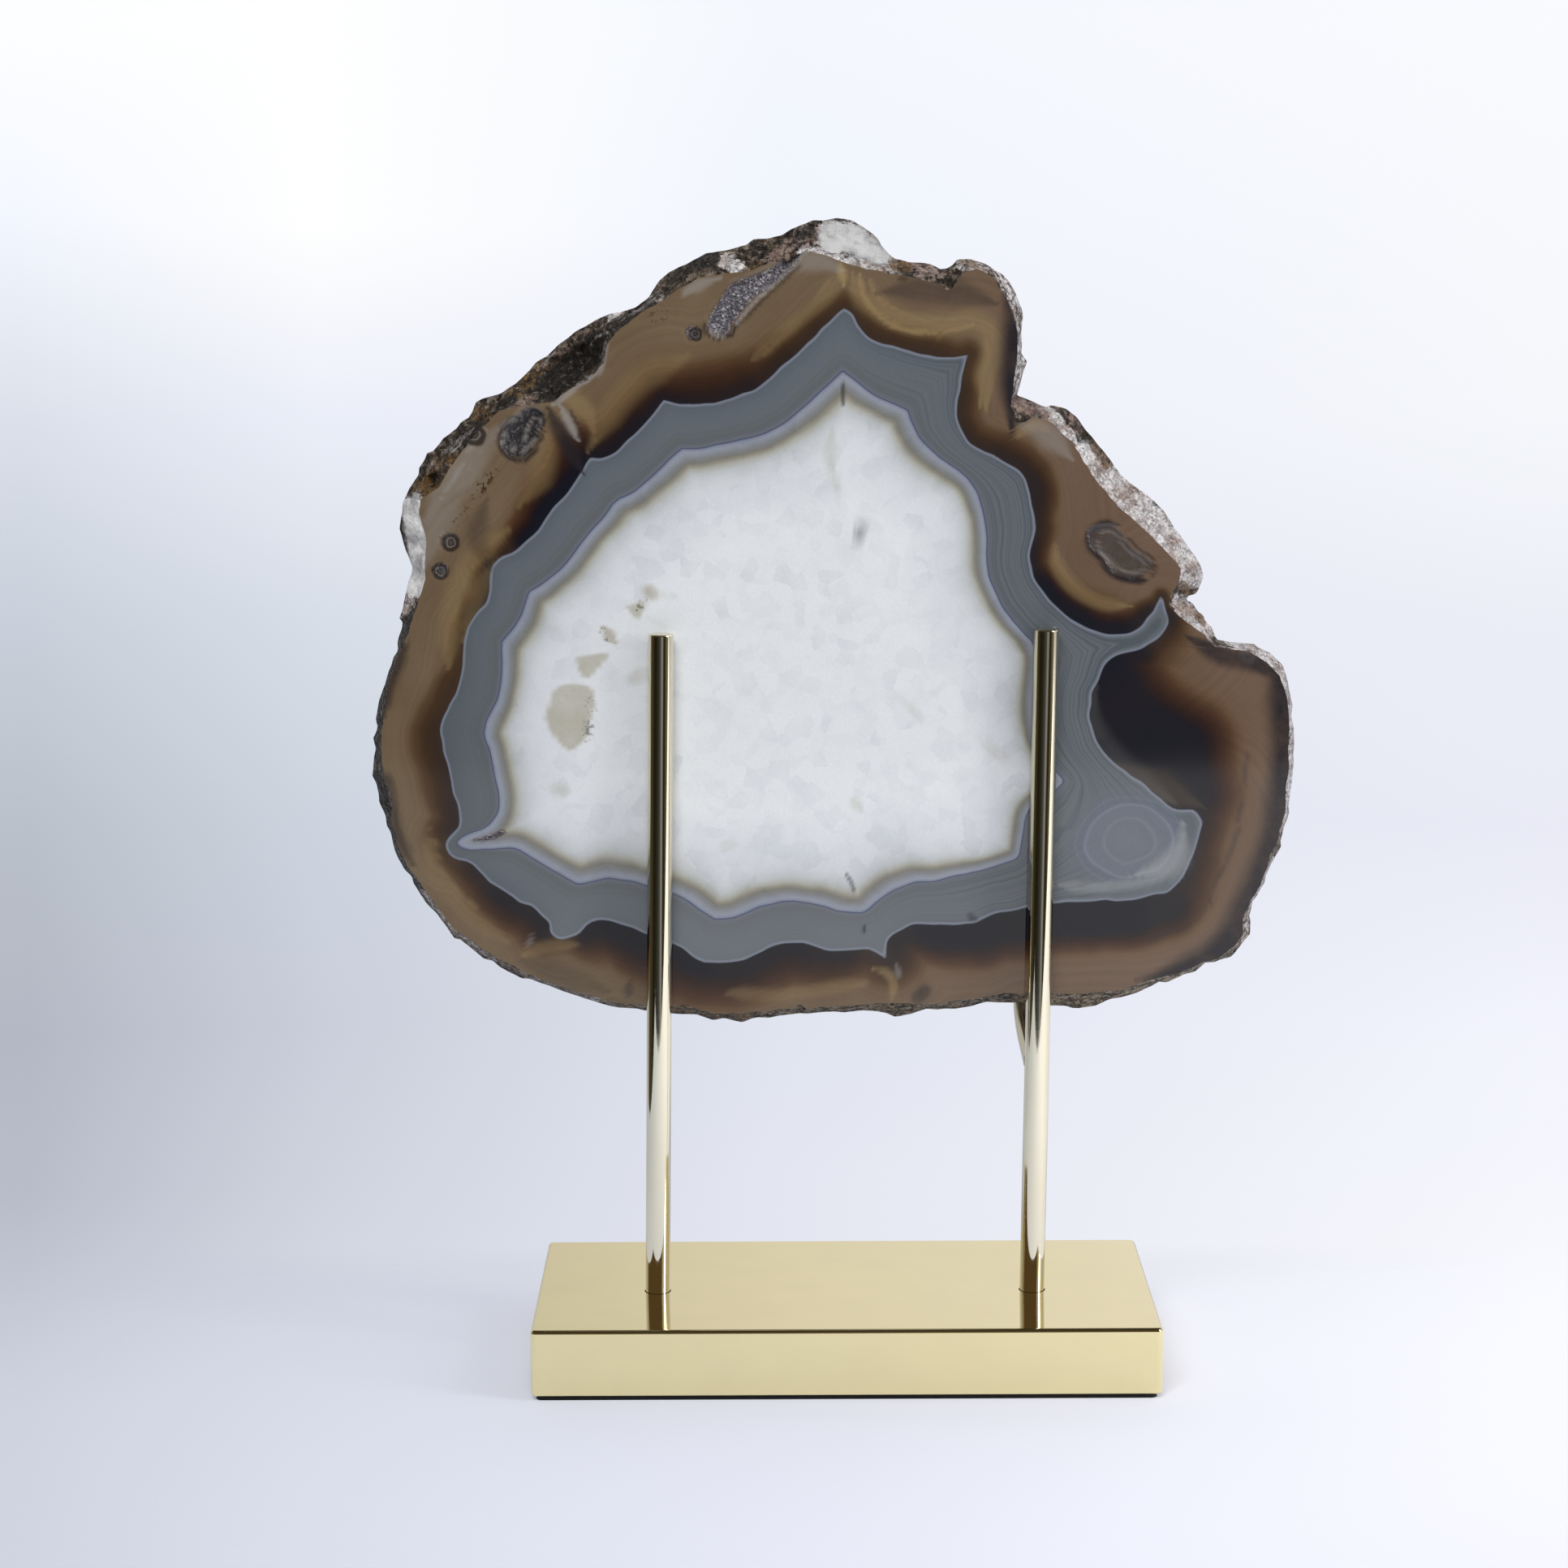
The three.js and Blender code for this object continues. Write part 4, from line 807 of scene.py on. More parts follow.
def agate_material(settings):
    """Banded agate, cut flat and polished: glassy gloss over a milky white heart of grown
    quartz, a fine blue line, blue-grey bands and a smoky to tan outer band. The bands follow
    distances in millimetres that the mesh keeps for each of its points."""
    material, tree, surface = new_material("polished_banded_agate")
    place = add(tree, "TexCoord").outputs["Object"]
    parts = add(tree, "SeparateXYZ", {0: place})
    kept = {name: add(tree, "Attribute", attribute_name=name).outputs["Fac"] for name in (
        "line_mm", "grey_mm", "smoke", "smoke_depth", "eye_mm", "band",
        "gold", "dark_smear_and_shadow", "pale", "stain", "rust", "ridge", "pocket", "pocket_tone")}
    # Slow drift over 30 mm, cloud over 9 mm, dust of 1.1 mm and grain of 0.7 mm.
    drift, cloud, dust, grain = (add(tree, "TexNoise", {
        "Vector": place, "Scale": scale, "Detail": detail, "Roughness": roughness})
        for scale, detail, roughness in (
            (33.0, 3.0, 0.5), (110.0, 5.0, 0.6), (900.0, 1.0, 0.5), (1400.0, 2.0, 0.5)))
    # Where the heart's crystals and the small eyes are looked up, swayed by the cloud.
    swayed = {mm: add(tree, "VectorMath", {
        0: cloud.outputs["Color"], 1: (mm * MM,) * 3, 2: place}, operation="MULTIPLY_ADD")
        for mm in (HEART_SWAY, EYE_SWAY)}

    # White heart: darkens to grey in the last 8 mm before the blue line, which is wider in
    # some places than in others, and is mottled by its crystals, which are 5 mm across.
    stretch = add(tree, "MapRange", {"Value": drift, "From Min": 0.3, "From Max": 0.7,
                                     "To Min": -0.85, "To Max": -1.2})
    quicker = add(tree, "MapRange", {"Value": parts, "From Min": 0.02, "From Max": 0.045,
                                     "To Min": 40.0, "To Max": 28.0})
    inward = add(tree, "Math", {0: add(tree, "Math", {
        0: kept["line_mm"], 1: stretch}, operation="MULTIPLY"), 1: quicker},
        operation="DIVIDE")
    heart = add(tree, "ValToRGB", {"Fac": inward}, stops=[
        (0.0, "#5f6573"), (0.012, "#7d838f"), (0.03, "#8b919f"), (0.055, "#868a90"),
        (0.08, "#7b7e81"), (0.112, "#78766d"), (0.138, "#8d8a7e"), (0.163, "#a4a49a"),
        (0.21, "#b8bbbc"), (0.275, "#c5c8cb"), (0.33, "#cccfd2"), (0.43, "#d2d5d9")])
    facets = add(tree, "TexVoronoi", {"Vector": swayed[HEART_SWAY], "Scale": 200.0})
    mottle = add(tree, "ValToRGB", {"Fac": add(tree, "Math", {
        0: facets.outputs["Color"], 1: 0.45, 2: add(tree, "Math", {0: cloud, 1: 0.6},
                                                    operation="MULTIPLY")},
        operation="MULTIPLY_ADD")}, stops=[
        (0.15, "#ffffff"), (0.5, "#fbfcfc"), (0.65, "#f6f7f8"), (0.85, "#ecedef")])
    clear = layered(tree, heart, ((inward, 0.43, 0.8, 1.0), (*settings.quartz, 1.0)))
    milky = layered(tree, clear, (1.0, mottle), blend_type="MULTIPLY")

    # Grey band: olive next to the blue line, then blue-grey with fine stripes, which are
    # stronger at the right. It is paler at the bottom, as a painted reflection of the pale
    # floor in front, and greener at the left, has the rings of the big eye, and ends in a fine
    # pale line.
    grey = add(tree, "ValToRGB", {"Fac": kept["band"]}, stops=[
        (0.0, "#5f6573"), (0.04, "#636870"), (0.12, "#5c6064"), (0.22, "#5c6163"),
        (0.45, "#5f656b"), (0.75, "#5b6269"), (1.0, "#555b61")])
    ply = add(tree, "TexNoise", {
        "W": add(tree, "Math", {0: kept["band"], 1: 15.0, 2: drift},
                 operation="MULTIPLY_ADD"), "Scale": 1.0, "Detail": 2.0},
        noise_dimensions="1D")
    stripes = add(tree, "ValToRGB", {"Fac": ply}, stops=[
        (0.3, "#485055"), (0.45, "#545b63"), (0.55, "#626669"), (0.68, "#51585f")])
    side = add(tree, "MapRange", {"Value": parts, "From Min": 0.005, "From Max": 0.05,
                                  "To Min": 0.15, "To Max": 0.75})
    rings = add(tree, "ValToRGB", {"Fac": add(tree, "MapRange", {
        "Value": kept["eye_mm"], "From Max": 24.0})}, stops=[
        (0.0, "#6a6f78"), (0.32, "#666b75"), (0.355, "#6f747d"), (0.4, "#666b75"),
        (0.55, "#666b75"), (0.585, "#717884"), (0.62, "#5f6672"), (0.69, "#5f6672"),
        (0.71, "#696f78"), (0.73, "#5f6671"), (0.82, "#5f666e"), (0.84, "#646a72"),
        (0.86, "#5f666e"), (1.0, "#5f666d")])
    edged = layered(
        tree, grey, (side, stripes), ((parts.outputs[2], 0.158, 0.138, 0.55), "#6d7176"),
        ((parts, -0.108, -0.126, 0.6), "#50575a"), ((kept["eye_mm"], 24.0, 15.0, 0.85), rings),
        ((kept["grey_mm"], -0.9, -0.2, 0.6), "#838a9a"))

    # Brown band: smoke next to the grey, thinning into tan.
    sway = add(tree, "Math", {0: drift, 1: 0.3, 2: -0.15}, operation="MULTIPLY_ADD")
    thinning = add(tree, "Math", {0: kept["smoke"], 1: sway}, operation="ADD")
    black = add(tree, "ValToRGB", {"Fac": thinning}, stops=[
        (0.0, "#10111b"), (0.12, "#170f17"), (0.3, "#28160f"), (0.5, "#3a2317"),
        (0.65, "#48301f"), (0.8, "#57402b"), (1.0, "#644d39")])
    umber = add(tree, "ValToRGB", {"Fac": thinning}, stops=[
        (0.0, "#3f2f22"), (0.4, "#463421"), (0.7, "#574530"), (1.0, "#665640")])
    patches = layered(tree, (*settings.tan, 1.0), ((parts, -0.03, 0.07, 1.0), "#6b5748"),
                      ((drift, 0.42, 0.72, 0.5), "#5b4835"))
    gilded = layered(tree, umber, (kept["smoke_depth"], black),
                     ((thinning, 0.75, 1.35, 1.0), patches), (kept["gold"], "#8f7a55"))
    # Silky threads a millimetre or two wide run along the band.
    threads = add(tree, "TexNoise", {
        "W": add(tree, "Math", {0: kept["grey_mm"], 1: 0.55, 2: add(tree, "Math", {
            0: drift, 1: 2.5}, operation="MULTIPLY")}, operation="MULTIPLY_ADD"),
        "Scale": 1.0, "Detail": 4.0, "Roughness": 0.6}, noise_dimensions="1D")
    silk = add(tree, "ValToRGB", {"Fac": threads}, stops=[
        (0.3, "#f2f0ee"), (0.5, "#faf9f8"), (0.68, "#ffffff")])
    silky = layered(tree, gilded, (1.0, silk), blend_type="MULTIPLY")

    # The marks that cross the bands are broken by the cloud, the rusty ones into specks.
    broken = add(tree, "MapRange", {"Value": cloud, "From Min": 0.3, "From Max": 0.55,
                                    "To Min": 0.75, "To Max": 1.0})
    specks = add(tree, "MapRange", {"Value": dust, "From Min": 0.55, "From Max": 0.63})
    marks = {name: add(tree, "Math", {0: kept[name], 1: breaks}, operation="MULTIPLY")
             for name, breaks in (("stain", broken), ("pale", broken), ("dark_smear_and_shadow", broken),
                                  ("rust", specks))}

    # Crystal pockets: points 0.7 mm across, each with its own painted light and shade, dark in the
    # gaps, and painted glints.
    sugar = add(tree, "TexVoronoi", {"Vector": place, "Scale": 1500.0})
    tinted = add(tree, "ValToRGB", {"Fac": kept["pocket_tone"]}, stops=[
        (0.1, "#4c4037"), (0.3, "#232021"), (0.45, "#6a6068"), (0.6, "#706c73"),
        (0.8, "#c4c0c4")])
    # Painted light and shade, different on each crystal point.
    painted_facet_light = add(tree, "ValToRGB", {"Fac": sugar.outputs["Color"]}, stops=[
        (0.2, "#777375"), (0.45, "#b0aeb0"), (0.62, "#ffffff")])
    druse = add(tree, "MapRange", {"Value": kept["pocket_tone"], "From Min": 0.25,
                                   "From Max": 0.5, "To Max": 0.6})
    points = layered(tree, tinted, (druse, painted_facet_light), blend_type="MULTIPLY")
    # Painted glints where the cloud and the points are brightest.
    painted_glint = add(tree, "MapRange", {"Value": add(tree, "Math", {
        0: cloud, 1: 0.8, 2: sugar.outputs["Color"]}, operation="MULTIPLY_ADD"),
        "From Min": 1.1, "From Max": 1.2, "To Max": 0.6})
    pocket_with_painted_glints = layered(tree, points, (
        add(tree, "Math", {0: painted_glint, 1: druse}, operation="MULTIPLY"), "#dcd9dc"))

    # Ringed eyes and round pockets: how many radii a point is from the nearest one.
    flat = add(tree, "VectorMath", {0: swayed[EYE_SWAY], 1: (1.0, 0.0, 1.0)},
               operation="MULTIPLY")
    radii = 9.0
    for x, z, radius in EYES:
        away = add(tree, "VectorMath", {0: flat, 1: (
            (x + EYE_SWAY / 2) * MM, 0.0, (z + EYE_SWAY / 2) * MM)},
            operation="DISTANCE").outputs["Value"]
        radii = add(tree, "Math", {0: radii, 1: add(tree, "Math", {
            0: away, 1: radius * MM}, operation="DIVIDE")}, operation="MINIMUM")
    iris = add(tree, "ValToRGB", {"Fac": radii}, stops=[
        (0.0, "#4b453f"), (0.35, "#2a2623"), (0.48, "#6d655e"), (0.6, "#2b2522"),
        (0.85, "#241d19"), (1.0, "#46392d")])

    # The three zones meet along the kept lines, and everything else lies over them.
    off_line = add(tree, "Math", {0: kept["line_mm"]}, operation="ABSOLUTE")
    # The dark smears laid over them include painted shadows.
    whole = layered(
        tree, milky, ((kept["line_mm"], -0.12, 0.12, 1.0), edged),
        ((kept["grey_mm"], -0.12, 0.35, 1.0), silky), ((off_line, 0.3, 0.1, 0.8), "#464a6a"),
        (marks["stain"], "#a5a08c"), (marks["pale"], "#a3a4a2"), (marks["rust"], "#3a2a1c"),
        (kept["pocket"], pocket_with_painted_glints), (marks["dark_smear_and_shadow"], "#221e22"), (kept["ridge"], "#8f8a86"),
        ((radii, 1.15, 0.92, 0.9), iris), ((grain, 0.35, 0.7, 0.05), "#2a2522"))
    dull = add(tree, "MapRange", {"Value": kept["pocket"], "To Min": settings.polish,
                                  "To Max": 0.45})
    relief = add(tree, "Math", {0: sugar.outputs["Distance"], 1: add(tree, "Math", {
        0: kept["pocket"], 1: add(tree, "MapRange", {
            "Value": kept["pocket_tone"], "From Min": 0.25, "From Max": 0.5,
            "To Min": 0.15, "To Max": 1.0})}, operation="MULTIPLY")}, operation="MULTIPLY")
    fill(surface, {"Base Color": whole, "Roughness": dull, "IOR": QUARTZ_IOR, "Normal": add(
        tree, "Bump", {"Height": relief, "Strength": 1.0, "Distance": 0.0008})})
    return material


def rind_material():
    """Natural rind of the nodule: rough brown crust, broken white quartz druse, black and
    ochre iron stain and some rose clay, matt with a few glassy points."""
    material, tree, surface = new_material("rough_natural_rind")
    place = add(tree, "TexCoord").outputs["Object"]
    height = add(tree, "SeparateXYZ", {0: place}).outputs[2]
    kept = {name: add(tree, "Attribute", attribute_name=name).outputs["Fac"]
            for name in (*CRUSTS, "ridge")}
    # Lumps of 7 mm, twists of 6 mm, crumbs of 2 mm and grit of 0.9 mm.
    lumps, twists, crumbs = (add(tree, "TexNoise", {
        "Vector": place, "Scale": scale, "Detail": detail, "Roughness": roughness})
        for scale, detail, roughness in (
            (140.0, 4.0, 0.5), (170.0, 5.0, 0.5), (480.0, 5.0, 0.65)))
    grit = add(tree, "TexVoronoi", {"Vector": place, "Scale": 1100.0})
    brown = add(tree, "ValToRGB", {"Fac": crumbs}, stops=[
        (0.32, "#25201c"), (0.44, "#493e34"), (0.52, "#6c6051"), (0.6, "#8c8071"),
        (0.72, "#ada192")])
    # Cream crust on the lowest part of the rind. Its colour is also made lighter, as painted
    # light, where that rind faces down, away from the lights.
    cream_with_painted_light = add(tree, "ValToRGB", {"Fac": crumbs}, stops=[
        (0.32, "#54452f"), (0.44, "#836f50"), (0.52, "#a39070"), (0.62, "#c6b38f")])
    # Ropy pale rims, broken in places, wind round dark knobs 7 mm across.
    knobs = add(tree, "TexVoronoi", {"Scale": 140.0, "Vector": add(tree, "VectorMath", {
        0: twists.outputs["Color"], 1: (KNOB_SWAY * MM,) * 3, 2: place},
        operation="MULTIPLY_ADD")}, feature="DISTANCE_TO_EDGE")
    rim_share, hollow_share = (add(tree, "MapRange", {
        "Value": kept["white_crust"], "To Min": bare, "To Max": white})
        for bare, white in ((0.5, 0.1), (0.85, 0.16)))
    rims = add(tree, "Math", {
        0: add(tree, "MapRange", {"Value": knobs, "From Min": 0.09, "From Max": 0.02,
                                  "To Max": rim_share}),
        1: add(tree, "MapRange", {"Value": crumbs, "From Min": 0.4, "From Max": 0.56})},
        operation="MULTIPLY")
    # The white druse is blushed with clay in patches of 7 mm. Each crust ends in crumbs.
    druse = add(tree, "ValToRGB", {"Fac": lumps}, stops=[
        (0.38, "#cdbcb3"), (0.46, "#e6dedb"), (0.56, "#f6f3f3")])
    frayed = add(tree, "Math", {0: crumbs, 1: 2.2, 2: -1.1}, operation="MULTIPLY_ADD")
    crusts = [((add(tree, "Math", {0: kept[name], 1: frayed}, operation="ADD"),
                0.35, 0.6, most), look) for name, look, most in (
        ("white_crust", druse, 0.95), ("rose_crust", "#a1897e", 0.85),
        ("ochre_crust", "#7b5a2b", 0.8), ("black_crust", "#282624", 0.92),
        ("ridge", "#9a9591", 0.9))]
    whole = layered(tree, brown, ((height, 0.17, 0.14, 0.85), cream_with_painted_light), *crusts,
                    (rims, "#a8a29a"))
    shards = add(tree, "ValToRGB", {"Fac": grit.outputs["Color"]}, stops=[
        (0.25, "#c0bcba"), (0.5, "#ebe9e8"), (0.7, "#ffffff")])
    broken = layered(tree, whole, (1.0, shards), blend_type="MULTIPLY")
    depth = add(tree, "Math", {0: lumps, 1: crumbs}, operation="ADD")
    # Clear quartz: smooth, glassy and clouded, without the shards and hollows.
    glassy = add(tree, "MapRange", {"Value": add(tree, "Math", {
        0: kept["clear_crust"], 1: add(tree, "Math", {0: lumps, 1: 1.6, 2: -0.8},
                                       operation="MULTIPLY_ADD")}, operation="ADD"),
        "From Min": 0.3, "From Max": 0.7})
    clouded = add(tree, "ValToRGB", {"Fac": add(tree, "Math", {
        0: lumps, 1: 0.6, 2: add(tree, "Math", {0: crumbs, 1: 0.4}, operation="MULTIPLY")},
        operation="MULTIPLY_ADD")}, stops=[
        (0.36, "#9c9a9d"), (0.45, "#b9b8b9"), (0.52, "#d2d2d1"), (0.62, "#e6e6e5")])
    shaded = layered(tree, clouded, (1.0, add(tree, "MapRange", {
        "Value": height, "From Min": 0.29, "From Max": 0.35, "To Min": 1.0, "To Max": 0.6})),
        blend_type="MULTIPLY")
    whole = layered(tree, broken, ((depth, 0.96, 0.78, hollow_share), "#2c2724"),
                    (glassy, shaded))
    rough = add(tree, "Math", {0: 1.0, 1: add(tree, "Math", {0: glassy, 1: 0.85},
                                              operation="MULTIPLY")}, operation="SUBTRACT")
    gloss = add(tree, "MapRange", {"Value": grit.outputs["Color"], "From Max": 0.8,
                                   "To Min": 0.8, "To Max": 0.3})
    # Relief: fine grit, then the ropy rims, then the crumbs, all flattened on clear quartz.
    relief = {}
    for raised, strength, distance in ((grit.outputs["Distance"], 0.8, 0.0006),
                                       (rims, 1.0, 0.001), (crumbs, 1.0, 0.003)):
        relief = {"Normal": add(tree, "Bump", {"Height": add(tree, "Math", {
            0: raised, 1: rough}, operation="MULTIPLY"), "Strength": strength,
            "Distance": distance, **relief})}
    fill(surface, {"Base Color": whole, "IOR": QUARTZ_IOR, "Roughness": add(
        tree, "Math", {0: gloss, 1: rough}, operation="MULTIPLY"), **relief})
    return material


def gold_material(name, colour, roughness):
    """Brass plated pale gold and buffed to a mirror: clear reflections with a faint haze of
    handling and polishing swirls about 12 mm long."""
    material, tree, surface = new_material(name)
    place = add(tree, "TexCoord").outputs["Object"]
    haze = add(tree, "TexNoise", {"Vector": place, "Scale": 60.0, "Detail": 4.0})
    swirls = add(tree, "TexNoise", {"Vector": add(tree, "Mapping", {
        "Vector": place, "Scale": (80.0, 80.0, 900.0)}), "Scale": 1.0, "Detail": 3.0})
    worn = layered(tree, (*colour, 1.0), ((haze, 0.35, 0.75, 0.12), "#d8c8a0"))
    buffed = add(tree, "MapRange", {"Value": add(tree, "Math", {0: haze, 1: swirls},
                                                 operation="MULTIPLY"),
                                    "From Min": 0.1, "From Max": 0.4,
                                    "To Min": roughness, "To Max": roughness + 0.05})
    fill(surface, {"Base Color": worn, "Roughness": buffed, "Metallic": 1.0})
    return material


def felt_material():
    """Pressed wool felt, dyed black: matt, with a soft nap of fibres 0.4 mm apart."""
    material, tree, surface = new_material("pressed_black_felt")
    nap = add(tree, "TexNoise", {"Vector": add(tree, "TexCoord").outputs["Object"],
                                 "Scale": 2500.0, "Detail": 3.0})
    fill(surface, {
        "Base Color": add(tree, "ValToRGB", {"Fac": nap}, stops=[
            (0.35, "#080709"), (0.65, "#141215")]),
        "Normal": add(tree, "Bump", {"Height": nap, "Strength": 0.6, "Distance": 0.0002}),
        "Roughness": 0.95, "Sheen Weight": 0.2})
    return material


# The stone.


def spaced(line, count):
    """That many points at equal steps along a closed line."""
    line = closed(line)
    run = np.concatenate([[0], np.cumsum(np.hypot(*np.diff(line, axis=0).T))])
    steps = np.linspace(0, run[-1], count, endpoint=False)
    return np.stack([np.interp(steps, run, line[:, k]) for k in (0, 1)], -1)


def polar(points):
    """Angle and reach of points about the stone's middle."""
    x, z = (points - STONE_MIDDLE).T
    return np.arctan2(z, x), np.hypot(x, z)


def stone_rings(columns, lump_height):
    """Rings of the slice. A point is a reach along a column's direction from the middle, and
    a depth. The front and back are flat fans of rings out to their rims. The rind between
    them goes linearly from the front rim to the widest outline, with random hills and set
    lumps added that fade at both ends, and then curves a quarter turn in to the back rim."""
    angle, widest = polar(spaced(np.array(GIRDLE), columns))
    onward = LEAST_TURN * np.arange(columns)
    angle = np.minimum.accumulate(np.unwrap(angle) + onward) - onward
    rim_angle, rim_reach = polar(spaced(np.array(FRONT_RIM), RIM_POINTS))
    order = np.argsort(rim_angle)
    rim = np.interp(angle, rim_angle[order], rim_reach[order], period=2 * math.pi)
    away = np.stack([np.cos(angle), np.sin(angle)], -1)
    edge = STONE_MIDDLE + away * widest[:, None]
    flat = np.insert(edge, 1, 0.0, axis=1)
    rim = np.minimum(rim + RIM_WOBBLE * bumps(flat, 2.5, 1), widest - LEAST_RIND)
    # The widest outline lies 5 mm behind the front, and more where the rind is wide.
    width = widest - rim
    slope = 5 + 0.4 * width
    girdle = widest - GIRDLE_WOBBLE * (1 + bumps(flat, 3.0, 2))

    def ring(reach, depth):
        x, z = (STONE_MIDDLE + away * reach[:, None]).T
        return np.stack([x, depth + 0 * x, z], -1)

    shares = np.concatenate([np.linspace(0, INNER_SHARE, FRONT_ROWS[0] + 1)[1:],
                             np.linspace(INNER_SHARE, 1, FRONT_ROWS[1] + 1)[1:]])
    front = [ring(rim * share, FRONT_Y) for share in shares]
    rind = []
    for share in np.linspace(0, 1, RIND_ROWS + 1)[1:]:
        at = ring(rim + (girdle - rim) * share, FRONT_Y + slope * share)
        # The hills are low where the rind is narrow, and lean outwards.
        hills = sum(part * bumps(at, size, seed) for part, size, seed in RIND_HILLS)
        high = lump_height * hills * np.clip(width / 8, 0.2, 1.2)
        fade = smoothstep(0, 0.15, share) * smoothstep(1, 0.8, share)
        placed = ring(rim + (girdle - rim) * share + high * fade * 0.8,
                      at[:, 1] + high * fade)
        for x, z, radius, height in RIND_FORMS:
            off = np.hypot(placed[:, 0] - x, placed[:, 2] - z) / radius
            placed[:, 1] -= height * np.sqrt(np.clip(1 - off**2, 0, 1)) * fade
        # Nothing stands out past the polished face.
        placed[:, 1] = np.maximum(placed[:, 1], FRONT_Y + 0.1)
        rind.append(placed)
    behind = []
    for share in np.linspace(0, 1, BEHIND_ROWS + 1)[1:]:
        turn = share * math.pi / 2
        behind.append(ring(girdle - BACK_RIM_INSET * (1 - math.cos(turn)),
                           FRONT_Y + slope + (BACK_Y - FRONT_Y - slope) * math.sin(turn)))
    shares = np.concatenate([np.linspace(1, INNER_SHARE, BACK_ROWS[1] + 1)[1:],
                             np.linspace(INNER_SHARE, 0, BACK_ROWS[0] + 2)[1:-1]])
    back = [ring((girdle - BACK_RIM_INSET) * share, BACK_Y) for share in shares]
    return np.array(front + rind + behind + back)


def sink_pockets(rings):
    """Crystal pockets: the front face drops by a pocket's depth, eased over 1.6 mm in from
    its rim, and sugary hills roughen it. Gives how far each point of the mesh is in a pocket,
    and its tone."""
    front = sum(FRONT_ROWS)
    points = rings[:front].reshape(-1, 3)
    cover, tone, drop = np.zeros((3, len(points)))
    for pale, deep, rim in POCKETS:
        inside = smoothstep(0.2, -1.4, signed(points[:, ::2], closed(smooth_run(rim, 3))))
        drop = np.maximum(drop, deep * inside)
        tone = np.where(inside > 0, pale, tone)
        cover = np.maximum(cover, smoothstep(0, 0.35, inside))
    sugar = 0.35 * bumps(points, 1.8, 6) * cover * (drop > 0.4)
    rings[:front, :, 1] += (drop + sugar).reshape(front, -1)
    rest = (0, rings[front:, :, 0].size + 2)
    return {"pocket": np.pad(cover, rest), "pocket_tone": np.pad(tone, rest)}


def stone_patterns(points):
    """The distances and covers, one number per point, that the stone's colours follow. The
    back has the same bands, and of the marks only its gold streaks and widest smears."""
    flat = points[:, ::2]
    level = points * [1, 0, 1]
    wander = 0.35 * bumps(level, 4.0, 7)
    line = signed(flat, closed(outline(BLUE_LINE))) + wander * 0.5
    grey = signed(flat, closed(outline(GREY_EDGE))) + wander
    # The smoke's numbers at a point are those of the places near it, each weighted by the
    # inverse fourth power of how far it is.
    smoke = np.array(SMOKE, float)
    near = np.hypot(flat[:, :1] - smoke[:, 0], flat[:, 1:] - smoke[:, 1])
    weight = 1 / (near + 2) ** 4
    weight /= weight.sum(1, keepdims=True)
    black, fading, depth = (weight @ smoke[:, 2:]).T
    lens = 0.5 + signed(flat, closed(smooth_run(LENS, 3))) / LENS_FADE
    eye = np.hypot(*((flat - BIG_EYE) * [1, BIG_EYE_SQUASH]).T)
    stain = painted(flat, TAN_STAINS)
    for strength, rim in STAIN_PATCHES:
        off = signed(flat, closed(smooth_run(closed(np.array(rim)), 4)))
        stain = np.maximum(stain, strength * smoothstep(0.7, -0.7, off))
    back = points[:, 1] > BACK_Y - 0.1
    wide = [stroke for stroke in DARK_SMEARS_AND_PAINTED_SHADOWS if stroke[1] > 6]
    marks = {"stain": stain, "pale": painted(flat, PALE_WISPS),
             "rust": painted(flat, RUSTY_SPECKS), "ridge": painted(flat, RIDGES)}
    return {
        "line_mm": line, "grey_mm": grey, "band": np.clip(line / (line - grey), 0, 1),
        "smoke": np.minimum((grey - black) / fading, lens), "smoke_depth": depth,
        "eye_mm": eye + 0.7 * bumps(level, 6.0, 8), "gold": painted(flat, GOLDEN_STREAKS),
        "dark_smear_and_shadow": np.where(back, painted(flat, wide), painted(flat, DARK_SMEARS_AND_PAINTED_SHADOWS)),
        **{name: cover * ~back for name, cover in marks.items()},
        **{name: painted(flat, strokes, False) for name, strokes in CRUSTS.items()},
    }


